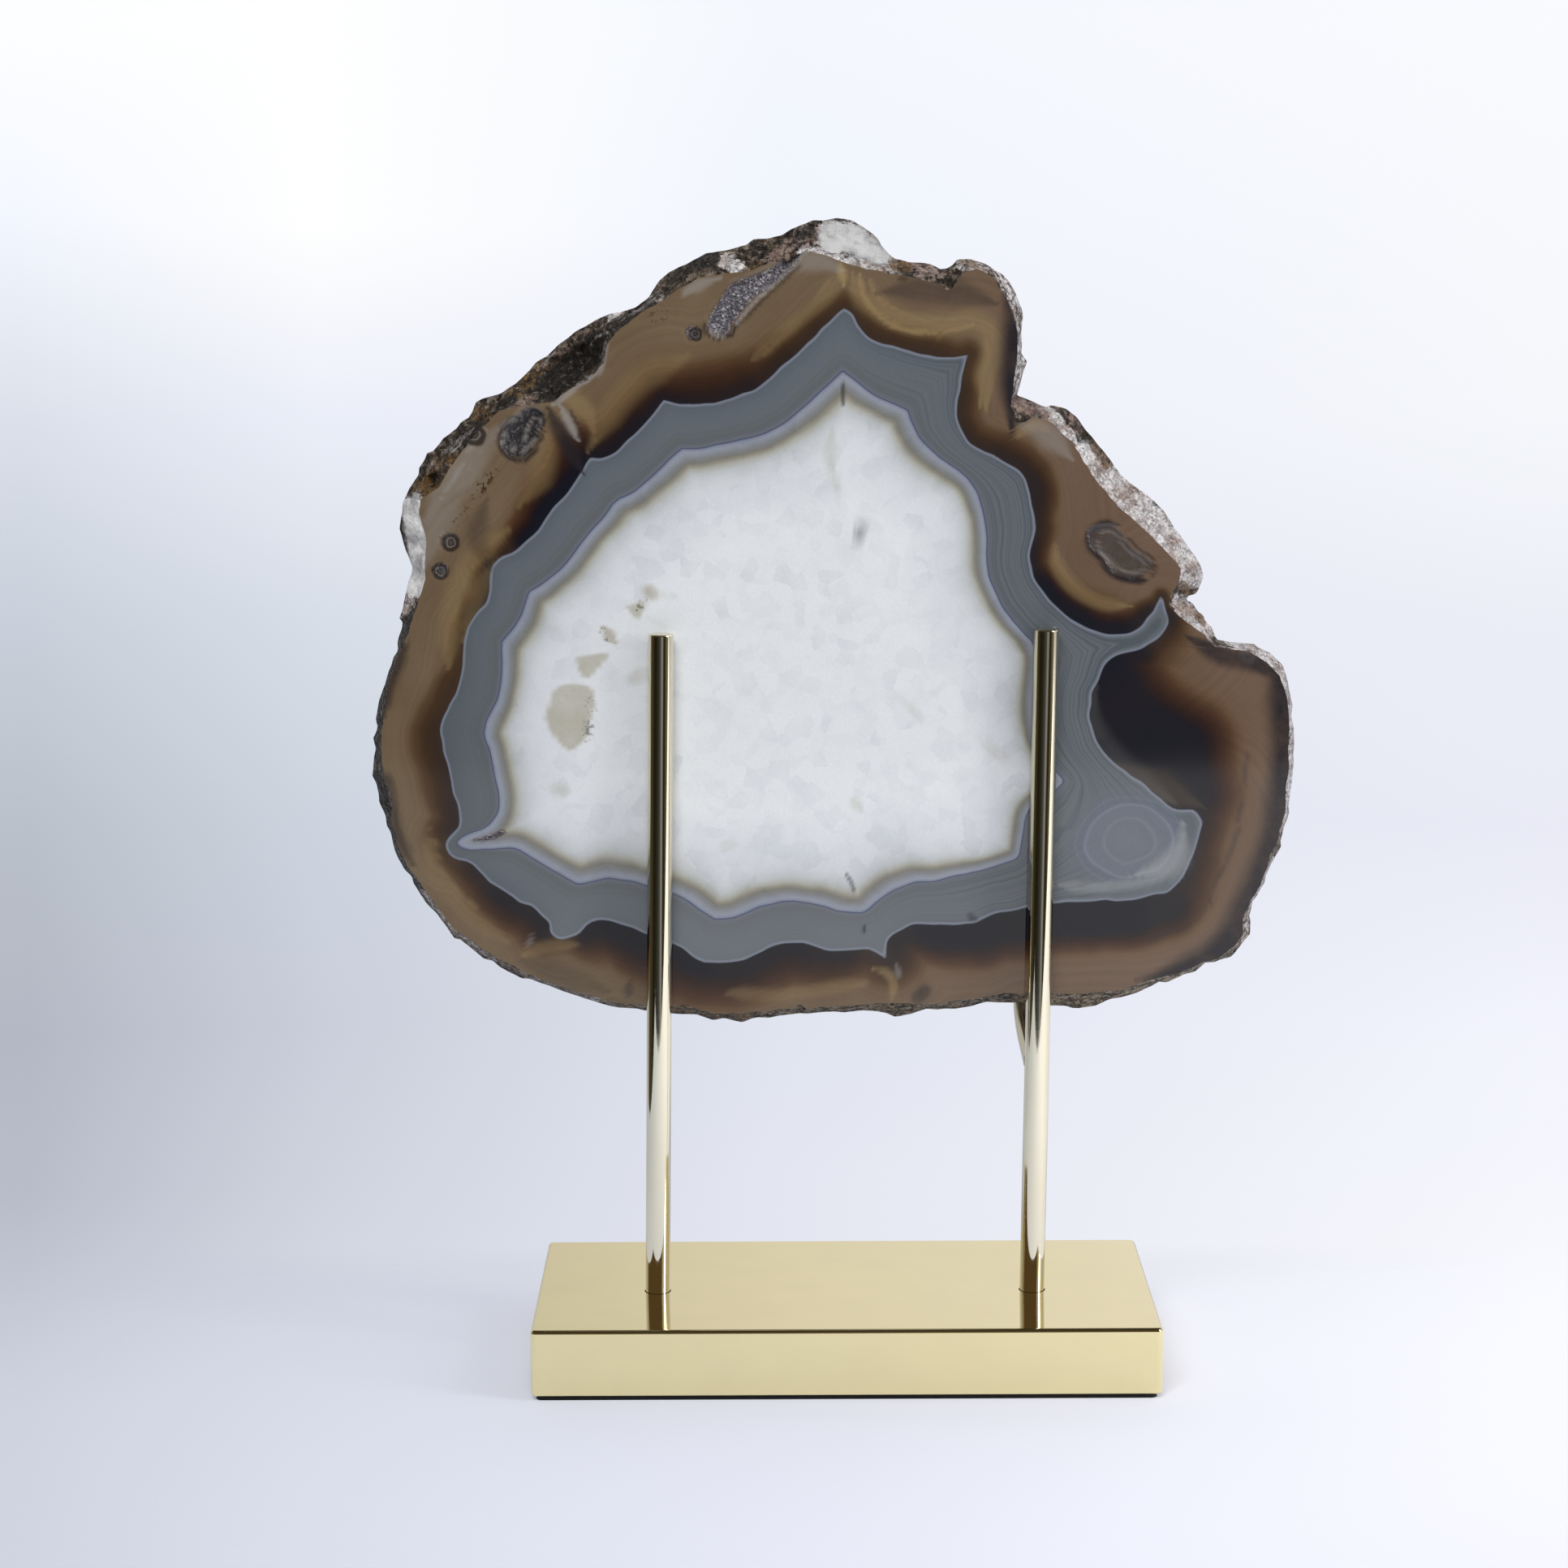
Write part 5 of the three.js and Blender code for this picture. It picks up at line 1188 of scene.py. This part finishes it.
def unwrap_stone(mesh, rings):
    """Flat maps of the front and the back, and the rind as an upright strip beside them:
    round the stone goes up the strip and from front to back goes across it."""
    rows, columns = rings.shape[:2]
    front = sum(FRONT_ROWS)
    rind_end = front + RIND_ROWS + BEHIND_ROWS
    corner = np.zeros(len(mesh.loops), np.int32)
    mesh.loops.foreach_get("vertex_index", corner)
    face_size = np.zeros(len(mesh.polygons), np.int32)
    mesh.polygons.foreach_get("loop_total", face_size)
    face = np.repeat(np.arange(len(face_size)), face_size)
    row = np.minimum(corner // columns, rows - 1)
    row[corner == rows * columns] = 0
    lowest = np.full(len(face_size), rows)
    np.minimum.at(lowest, face, row)
    points = np.vstack([rings.reshape(-1, 3), [[0, 0, STONE_MIDDLE[1]]] * 2])[corner, ::2]
    low = rings[..., ::2].min((0, 1))
    spread = (points - low) / (rings[..., ::2].max((0, 1)) - low)
    column = (corner % columns).astype(float)
    first = np.full(len(face_size), columns, float)
    np.minimum.at(first, face, column)
    last = np.zeros(len(face_size))
    np.maximum.at(last, face, column)
    wraps = (last - first > columns / 2)[face]
    column[wraps & (column < columns / 2)] += columns
    across = (row - front + 1) / (RIND_ROWS + BEHIND_ROWS)
    unrolled = np.stack([across, column / columns], -1)
    on_front = (lowest[face] < front - 1) | (corner == rows * columns)
    on_rind = (lowest[face] >= front - 1) & (lowest[face] < rind_end - 1)
    uv = BACK_MAP[0] + spread * BACK_MAP[1]
    for here, (start, size), place in ((on_front, FRONT_MAP, spread),
                                       (on_rind, RIND_MAP, unrolled)):
        uv[here] = start + place[here] * size
    mesh.uv_layers.new(name="OFBake").data.foreach_set("uv", uv.astype(np.float32).ravel())
    rough = on_rind[np.concatenate([[0], np.cumsum(face_size)[:-1]])]
    mesh.polygons.foreach_set("material_index", rough.astype(np.int32))
    edges = np.zeros(len(mesh.edges) * 2, np.int32)
    mesh.edges.foreach_get("vertices", edges)
    ends = edges.reshape(-1, 2) // columns
    sharp = (ends[:, 0] == ends[:, 1]) & np.isin(ends[:, 0], (front - 1, rind_end - 1))
    mesh.attributes.new("sharp_edge", "BOOLEAN", "EDGE").data.foreach_set("value", sharp)


# The stand.


def finish_metal(piece, material, node):
    """Gives a stand piece its material, keeps its hard edges hard and puts it in place of
    its node."""
    piece.data.materials.append(material)
    piece.data.set_sharp_from_angle(angle=SHARP_ANGLE)
    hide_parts(node)
    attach(piece, "root")


def round_ring(radius, height, count):
    """Level circle: cosine and sine of the turn times the radius."""
    turn = np.linspace(0, 2 * math.pi, count, endpoint=False)
    return np.stack([radius * np.cos(turn), radius * np.sin(turn), height + 0 * turn], -1)


def leaned(points, fork):
    """Turns points of an upright fork by the posts' lean and moves them to its socket."""
    turn = np.array(Matrix.Rotation(POST_LEAN, 3, "Y"))
    return points @ turn.T + [fork["x"], POST_Y, BASE_HIGH.z / MM]


def base_rings(half, low, high, corner, edge):
    """Rings of the rounded block: a rounded rectangle, shrunk by the edge radius less its
    cosine while it rises by its sine, as a quarter circle goes. Rings and columns that stand
    a small step beside each fillet keep the flats shaded flat."""
    step = 0.08
    arc = np.linspace(0, math.pi / 2, 9)
    starts = np.repeat(np.arange(4) * math.pi / 2, len(arc) + 2)
    turn = starts + np.tile(np.concatenate([[0], arc, [math.pi / 2]]), 4)
    along = np.tile(np.concatenate([[-step], np.zeros(len(arc)), [step]]), 4)
    x_side = np.sign(np.cos(starts + math.pi / 4))
    y_side = np.sign(np.sin(starts + math.pi / 4))
    steps = np.concatenate([
        [[edge + step, low]],
        np.stack([edge * (1 - np.sin(arc)), low + edge * (1 - np.cos(arc))], -1),
        [[0, low + edge + step], [0, high - edge - step]],
        np.stack([edge * (1 - np.cos(arc)), high - edge * (1 - np.sin(arc))], -1),
        [[edge + step, high]]])
    inset, height = steps[:, :1], steps[:, 1:]
    x = x_side * (half[0] - corner) + (corner - inset) * np.cos(turn) - np.sin(turn) * along
    y = y_side * (half[1] - corner) + (corner - inset) * np.sin(turn) + np.cos(turn) * along
    return np.stack([x, y, height + 0 * x], -1)


def base_block(name, settings):
    """The base: its rounded rings closed below by one flat face, and above by a flat top with
    two round sockets, each a leaning circle carried down to its own flat floor."""
    high = BASE_HIGH.z / MM
    rings = base_rings((BASE_HIGH.x / MM, BASE_HIGH.y / MM), BASE_LOW.z / MM, high,
                       settings.corner_radius / MM, settings.edge_radius / MM)
    rows, columns = rings.shape[:2]
    sockets = []
    for fork in FORKS.values():
        mouth = (round_ring(settings.rod_radius / MM + GAP, 0, POST_SIDES)
                 + [fork["x"], POST_Y, high])
        floor = mouth - [SOCKET_DEPTH * math.tan(POST_LEAN), 0, SOCKET_DEPTH]
        sockets += [mouth, floor]
    points = np.vstack([rings.reshape(-1, 3), *sockets])
    ring = np.arange(rows * columns).reshape(rows, columns)
    mouths = rows * columns + 2 * POST_SIDES * np.arange(len(FORKS))[:, None] + np.arange(
        POST_SIDES)
    floors = mouths + POST_SIDES
    quads = np.concatenate([
        np.stack([lower, np.roll(lower, -1, 1), np.roll(upper, -1, 1), upper], -1).ravel()
        for lower, upper in ((ring[:-1], ring[1:]), (mouths, floors))])
    loops = (ring[-1], *mouths)
    top = tessellate_polygon([[Vector(points[i]) for i in loop] for loop in loops])
    top = np.concatenate(loops)[np.array(top)]
    a, b, c = (points[top[:, k]] for k in range(3))
    down = np.cross(b - a, c - a)[:, 2] < 0
    top[down] = top[down][:, ::-1]
    corners = np.concatenate([quads, top.ravel(), ring[0][::-1], floors.ravel()])
    sizes = np.concatenate([np.full(len(quads) // 4, 4), np.full(len(top), 3), [columns],
                            np.full(len(floors), POST_SIDES)])
    return mesh_object(name, points * MM, corners, sizes)


def post_rings(height, radius):
    """A lathe profile: flat foot, straight side and a small rounded chamfer at the top,
    carried round the upright axis. Rings a small step beside each corner keep the ends shaded
    flat."""
    step = 0.05
    foot = GAP - SOCKET_DEPTH
    arc = np.linspace(0, math.pi / 2, 6)
    profile = np.concatenate([
        [[radius - step, foot], [radius, foot], [radius, foot + step],
         [radius, height - ROD_CHAMFER - step]],
        np.stack([radius - ROD_CHAMFER * (1 - np.cos(arc)),
                  height - ROD_CHAMFER * (1 - np.sin(arc))], -1),
        [[radius - ROD_CHAMFER - step, height]]])
    return np.stack([round_ring(r, z, POST_SIDES) for r, z in profile])


def tine_rings(branch, radius):
    """A circle carried along the bent middle line: a cubic Bezier from the post's axis back
    and up, then a straight line up. Each line along the rod starts where it first comes out
    of the post, so the foot fits round it, and the top has a small rounded chamfer."""
    bend_steps, straight_steps, row_count = 220, 40, 90
    t = np.linspace(0, 1, bend_steps)[:, None]
    pulls = np.array([(0, branch), (11, branch + 6), (TINE_REACH, branch + 10),
                      (TINE_REACH, branch + 22)])
    bend = ((1 - t) ** 3 * pulls[0] + 3 * t * (1 - t) ** 2 * pulls[1]
            + 3 * t * t * (1 - t) * pulls[2] + t**3 * pulls[3])
    straight = np.stack([np.full(straight_steps, TINE_REACH), np.linspace(
        pulls[-1, 1], TINE_TOP, straight_steps + 1)[1:]], -1)
    line = np.vstack([bend, straight])
    along = np.gradient(line, axis=0)
    along /= np.hypot(*along.T)[:, None]
    turn = np.linspace(0, 2 * math.pi, TINE_SIDES, endpoint=False)
    x = radius * np.cos(turn) + 0 * line[:, :1]
    y = line[:, :1] - radius * np.sin(turn) * along[:, 1:]
    z = line[:, 1:] + radius * np.sin(turn) * along[:, :1]
    tube = np.stack([x, y, z], -1)
    outside = (np.hypot(x, y) > radius + GAP + 0.02) & (y > 0)
    start = outside.argmax(0) / (len(line) - 1)
    share = np.linspace(0, 1, row_count)[:, None]
    steps = (start + (1 - start) * share) * (len(line) - 1)
    low = np.minimum(steps.astype(int), len(line) - 2)
    part = (steps - low)[..., None]
    column = np.arange(TINE_SIDES)
    rings = tube[low, column] * (1 - part) + tube[low + 1, column] * part
    rings[-1, :, 2] = TINE_TOP - ROD_CHAMFER
    cap = [[0, TINE_REACH, 0] + (rings[-1] - [0, TINE_REACH, 0]) * [scale, scale, 1]
           + [0, 0, rise] for scale, rise in ((0.985, 0.25), (0.94, 0.42), (0.875, 0.5))]
    return np.concatenate([rings, cap])


# Operators: one for each piece or group of like pieces, and one for the stage.


class StoneOperator(bpy.types.Operator):
    """Builds the agate slice with its rind, crystal pockets and bands"""

    bl_idname = "agate.stone"
    bl_label = "Agate slice"

    def execute(self, context):
        settings = context.scene.agate_stone
        rings = stone_rings(settings.columns, settings.lumps / MM)
        pockets = sink_pockets(rings)
        middles = [[0, y, STONE_MIDDLE[1]] for y in (FRONT_Y, BACK_Y)]
        piece = closed_surface("agate_stone", rings, *middles)
        points = np.vstack([rings.reshape(-1, 3), middles])
        store(piece.data, **stone_patterns(points), **pockets)
        for material in (agate_material(settings), rind_material()):
            piece.data.materials.append(material)
        unwrap_stone(piece.data, rings)
        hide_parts("agate_slice")
        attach(piece, "root")
        return {"FINISHED"}


class BaseOperator(bpy.types.Operator):
    """Builds the gold base and dresses the felt pad under it"""

    bl_idname = "agate.base"
    bl_label = "Base and pad"

    def execute(self, context):
        settings = context.scene.agate_stand
        piece = base_block("gold_base", settings)
        finish_metal(piece, gold_material("buffed_pale_gold_base", settings.base_gold, 0.035),
                     "base_plate")
        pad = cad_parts["base_pad"]
        pad.data.materials.clear()
        pad.data.materials.append(felt_material())
        return {"FINISHED"}


class ForksOperator(bpy.types.Operator):
    """Builds both posts and the tines that leave their backs"""

    bl_idname = "agate.forks"
    bl_label = "Posts and tines"

    def execute(self, context):
        settings = context.scene.agate_stand
        radius = settings.rod_radius / MM
        material = gold_material("buffed_pale_gold_rod", settings.rod_gold, 0.03)
        for side, fork in FORKS.items():
            turned = np.array(Matrix.Rotation(fork["turn"], 3, "Z"))
            for part, rings in (("post", post_rings(fork["height"], radius)),
                                ("tine", tine_rings(fork["branch"], radius) @ turned.T)):
                rings = leaned(rings, fork)
                piece = closed_surface(f"gold_{part}_{side}", rings,
                                       rings[0].mean(0), rings[-1].mean(0))
                finish_metal(piece, material, f"{part}_{side}")
        return {"FINISHED"}


class StageOperator(bpy.types.Operator):
    """Sets the table, the soft studio light and the camera"""

    bl_idname = "agate.stage"
    bl_label = "Studio"

    def execute(self, context):
        settings = context.scene.agate_studio
        context.scene.view_settings.view_transform = "Standard"
        place_table(settings)
        place_lights(settings)
        paint_surroundings(context.scene.world or bpy.data.worlds.new("studio"))
        place_camera(settings)
        return {"FINISHED"}


def place_table(settings):
    """A pale table top: one flat sheet. Seen by the camera it lets the backdrop show through
    and fades out into it with distance, and mirrored in the metal it ends at its own front
    and left edges."""
    points = np.array([[-1, -1, 0], [1, -1, 0], [1, 1, 0], [-1, 1, 0]], float)
    table = mesh_object("table", points * TABLE_REACH, np.arange(4, dtype=np.int32), np.array([4]))
    material, tree, surface = new_material("matt_pale_table")
    place = add(tree, "TexCoord").outputs["Object"]
    parts = add(tree, "SeparateXYZ", {0: place})
    # Painted shade: the table darkens to the left and brightens to the right.
    painted_shade_to_left = add(tree, "ValToRGB", {"Fac": add(tree, "MapRange", {
        "Value": parts, "From Min": -0.3, "From Max": 0.3})}, stops=[
        (0.0, "#ccd1d8"), (0.5, "#e2e4e9"), (1.0, "#ffffff")])
    fill(surface, {"Roughness": 0.8, "Base Color": layered(
        tree, painted_shade_to_left, (1.0, (*settings.table, 1.0)), blend_type="MULTIPLY")})
    distance = add(tree, "VectorMath", {0: place}, operation="LENGTH").outputs["Value"]
    far = add(tree, "MapRange", {"Value": distance, "From Min": 0.12, "From Max": 0.36,
                                 "To Min": 0.3}, interpolation_type="SMOOTHSTEP")
    behind = add(tree, "MapRange", {"Value": parts.outputs[1], "From Min": 0.03,
                                    "From Max": 0.12})
    front = add(tree, "Math", {0: parts.outputs[1], 1: TABLE_FRONT}, operation="LESS_THAN")
    left = add(tree, "Math", {0: parts, 1: TABLE_LEFT}, operation="LESS_THAN")
    ended, faded = (add(tree, "Math", {0: one, 1: other}, operation="MAXIMUM")
                    for one, other in ((front, left), (far, behind)))
    share = add(tree, "Mix", {
        "Factor": add(tree, "LightPath").outputs["Is Camera Ray"], "A": ended, "B": faded})
    fill(tree.nodes["Material Output"], {"Surface": add(tree, "MixShader", {
        0: share, 1: surface, 2: add(tree, "BsdfTransparent")})})
    table.data.materials.append(material)


def place_lights(settings):
    """Soft area lights. The key hangs above and in front. The low one lies on the floor in
    front of the table, lights only the stone, and shows as a faint level veil in its polish."""
    veiled = bpy.data.collections.new("veiled")
    veiled.objects.link(bpy.data.objects["agate_stone"])
    # Name, power, place, target, width and height, and the only things that it lights.
    veil_power = math.pi * VEIL_SIZE[0] * VEIL_SIZE[1] * VEIL_GLOW
    lights = (
        ("key", settings.key_power, (-0.25, -1.15, 1.35), (0, 0, 0.22), (0.9, 0.7), None),
        ("side", 9.0, (1.3, -0.55, 0.75), (0, 0, 0.2), (0.3, 1.3), None),
        ("veil", veil_power, VEIL_PLACE, (*VEIL_PLACE[:2], 1), VEIL_SIZE, veiled),
    )
    for name, power, place, target, size, only in lights:
        lamp = bpy.data.lights.new(name, "AREA")
        lamp.shape = "RECTANGLE"
        lamp.size, lamp.size_y = size
        lamp.energy = power
        light = bpy.data.objects.new(name, lamp)
        light.rotation_euler = (Vector(target) - Vector(place)).to_track_quat(
            "-Z", "Y").to_euler()
        light.location = place
        light.visible_camera = False
        light.visible_glossy = name != "key"
        if only:
            light.visible_diffuse = False
            light.light_linking.receiver_collection = only
            fade_to_left(lamp)
        bpy.context.scene.collection.objects.link(light)


def fade_to_left(lamp):
    """The lamp shines at four tenths of its strength at its left end, rising to all of it
    just right of its middle."""
    lamp.use_nodes = True
    tree = lamp.node_tree
    across = add(tree, "SeparateXYZ", {0: add(tree, "NewGeometry").outputs["Parametric"]})
    fill(tree.nodes["Emission"], {"Strength": add(tree, "MapRange", {
        "Value": across, "From Min": 0.9, "From Max": 0.4, "To Min": 0.4, "To Max": 1.0})})


def paint_surroundings(world):
    """The studio round the table, by direction alone. The camera sees a pale backdrop that
    darkens to the left and brightens upwards; the polish mirrors dark room in front, a bright
    window side to the right and a pale backdrop behind."""
    bpy.context.scene.world = world
    world.use_nodes = True
    tree = world.node_tree
    tree.nodes.clear()
    parts = add(tree, "SeparateXYZ", {0: add(tree, "TexCoord").outputs["Generated"]})
    height = add(tree, "Math", {0: parts.outputs[2]}, operation="ARCSINE")
    turn = add(tree, "Math", {0: parts, 1: add(
        tree, "Math", {0: parts.outputs[1], 1: -1.0}, operation="MULTIPLY")},
        operation="ARCTAN2")
    # The backdrop, from 22 degrees down to 2 degrees up and 12 degrees to each side: four
    # upright ramps from left to right.
    rise = add(tree, "MapRange", {"Value": height, "From Min": math.radians(-21.7),
                                  "From Max": math.radians(2.4)})
    across = add(tree, "MapRange", {"Value": parts, "From Min": -0.2, "From Max": 0.2})
    first, second, third, last = (add(tree, "ValToRGB", {"Fac": rise}, stops=stops)
                                  for stops in (
        [(0.02, "#ced3df"), (0.12, "#ccd1dd"), (0.25, "#b9bdca"), (0.35, "#b3b8c4"),
         (0.48, "#bac0c9"), (0.61, "#c8cfda"), (0.74, "#dbe0ea"), (0.87, "#f4f7ff"),
         (0.98, "#fdfeff")],
        [(0.02, "#d8dce7"), (0.12, "#d7dbe6"), (0.25, "#ced3de"), (0.352, "#c9ceda"),
         (0.483, "#cdd4df"), (0.614, "#d8dee7"), (0.744, "#eceff9"), (0.86, "#ffffff"),
         (0.98, "#ffffff")],
        [(0.02, "#e4e6f1"), (0.25, "#e4e6f1"), (0.35, "#e0e4ef"), (0.48, "#dfe3ee"),
         (0.61, "#e4e8f2"), (0.74, "#eceef9"), (0.87, "#f1f5fd"), (0.98, "#f4f7fd")],
        [(0.02, "#f4f5fd"), (0.18, "#f8f9fd"), (0.35, "#f3f4fd"), (0.48, "#e9eaf5"),
         (0.61, "#eceef7"), (0.74, "#f5f7fb"), (0.98, "#f9fafe")]))
    backdrop = layered(tree, first, ((across, 0.0, 0.19, 1.0), second),
                       ((across, 0.19, 0.5, 1.0), third), ((across, 0.5, 1.0, 1.0), last))
    # What reflections see: round the horizon from behind on the left to behind on the right.
    around = add(tree, "MapRange", {"Value": turn, "From Min": -math.pi, "From Max": math.pi})
    low = add(tree, "ValToRGB", {"Fac": around}, stops=[
        (0.0, "#b4b4b8"), (0.17, "#b4b4b8"), (0.23, "#423d32"), (0.28, "#433e2f"),
        (0.33, "#2a2619"), (0.36, "#1f1b10"), (0.42, "#2a271e"), (0.46, "#39393b"),
        (0.5, "#4f4f52"), (0.53, "#88888a"), (0.55, "#88888a"), (0.57, "#3b3833"),
        (0.597, "#241d10"), (0.63, "#4a4335"), (0.655, "#6b6453"), (0.69, "#837c6c"),
        (0.705, "#cfcfcd"), (0.73, "#dadadc"), (0.745, "#6c6658"), (0.76, "#554e3e"),
        (0.79, "#554e3e"), (0.815, "#a0a0a4"), (1.0, "#b4b4b8")])
    high = add(tree, "ValToRGB", {"Fac": around}, stops=[
        (0.0, "#e2e1e0"), (0.011, "#d2d1ce"), (0.18, "#b8b8ba"), (0.24, "#574836"),
        (0.6, "#574836"), (0.64, "#c8c8cc"), (0.72, "#e0e0e4"), (0.8, "#b8b8be"),
        (0.96, "#edecf7"), (0.983, "#ecebf0"), (1.0, "#e2e1e0")])
    path = add(tree, "LightPath")
    overhead = layered(tree, "#c4c5cc", (path.outputs["Is Glossy Ray"], "#3a352c"))
    seen = layered(
        tree, low, ((height, math.radians(-2), math.radians(8), 1.0), high),
        ((height, math.radians(28), math.radians(45), 1.0), overhead),
        (path.outputs["Is Camera Ray"], backdrop))
    add(tree, "OutputWorld", {"Surface": add(tree, "Background", {"Color": seen})})


def place_camera(settings):
    """The photographed viewpoint: 1.16 m in front, 0.39 m up, looking 9.6 degrees down."""
    tilt, roll, swing = map(math.radians, (CAMERA_TILT, CAMERA_ROLL, CAMERA_SWING))
    lens = bpy.data.cameras.new("camera")
    lens.lens = settings.lens
    lens.sensor_width = 36
    camera = bpy.data.objects.new("camera", lens)
    bpy.context.scene.collection.objects.link(camera)
    ahead = Vector((-math.sin(swing) * math.cos(tilt), math.cos(swing) * math.cos(tilt),
                    -math.sin(tilt)))
    level = Vector((math.cos(swing), math.sin(swing), 0))
    up = level.cross(ahead)
    right = level * math.cos(roll) - up * math.sin(roll)
    up = level * math.sin(roll) + up * math.cos(roll)
    camera.matrix_world = Matrix.Translation(CAMERA_PLACE) @ Matrix(
        (right, up, -ahead)).transposed().to_4x4()
    bpy.context.scene.camera = camera


class StandPanel(bpy.types.Panel):
    """Lists the pieces and their settings in the sidebar"""

    bl_idname = "VIEW3D_PT_agate"
    bl_label = "Agate slice on a stand"
    bl_space_type = "VIEW_3D"
    bl_region_type = "UI"
    bl_category = "Agate"

    def draw(self, context):
        for group, operators in (
                ("agate_stone", (StoneOperator,)),
                ("agate_stand", (BaseOperator, ForksOperator)),
                ("agate_studio", (StageOperator,))):
            box = self.layout.box()
            settings = getattr(context.scene, group)
            for name in settings.__annotations__:
                box.prop(settings, name)
            for operator in operators:
                box.operator(operator.bl_idname)


CLASSES = (StoneSettings, StandSettings, StudioSettings, StoneOperator, BaseOperator,
           ForksOperator, StageOperator, StandPanel)


def register():
    for part in CLASSES:
        bpy.utils.register_class(part)
    bpy.types.Scene.agate_stone = PointerProperty(type=StoneSettings)
    bpy.types.Scene.agate_stand = PointerProperty(type=StandSettings)
    bpy.types.Scene.agate_studio = PointerProperty(type=StudioSettings)


def unregister():
    del bpy.types.Scene.agate_studio
    del bpy.types.Scene.agate_stand
    del bpy.types.Scene.agate_stone
    for part in reversed(CLASSES):
        bpy.utils.unregister_class(part)


def main():
    """Registers the add-on and builds everything in order."""
    register()
    bpy.ops.agate.stone()
    bpy.ops.agate.base()
    bpy.ops.agate.forks()
    bpy.ops.agate.stage()


if __name__ == "__main__":
    main()
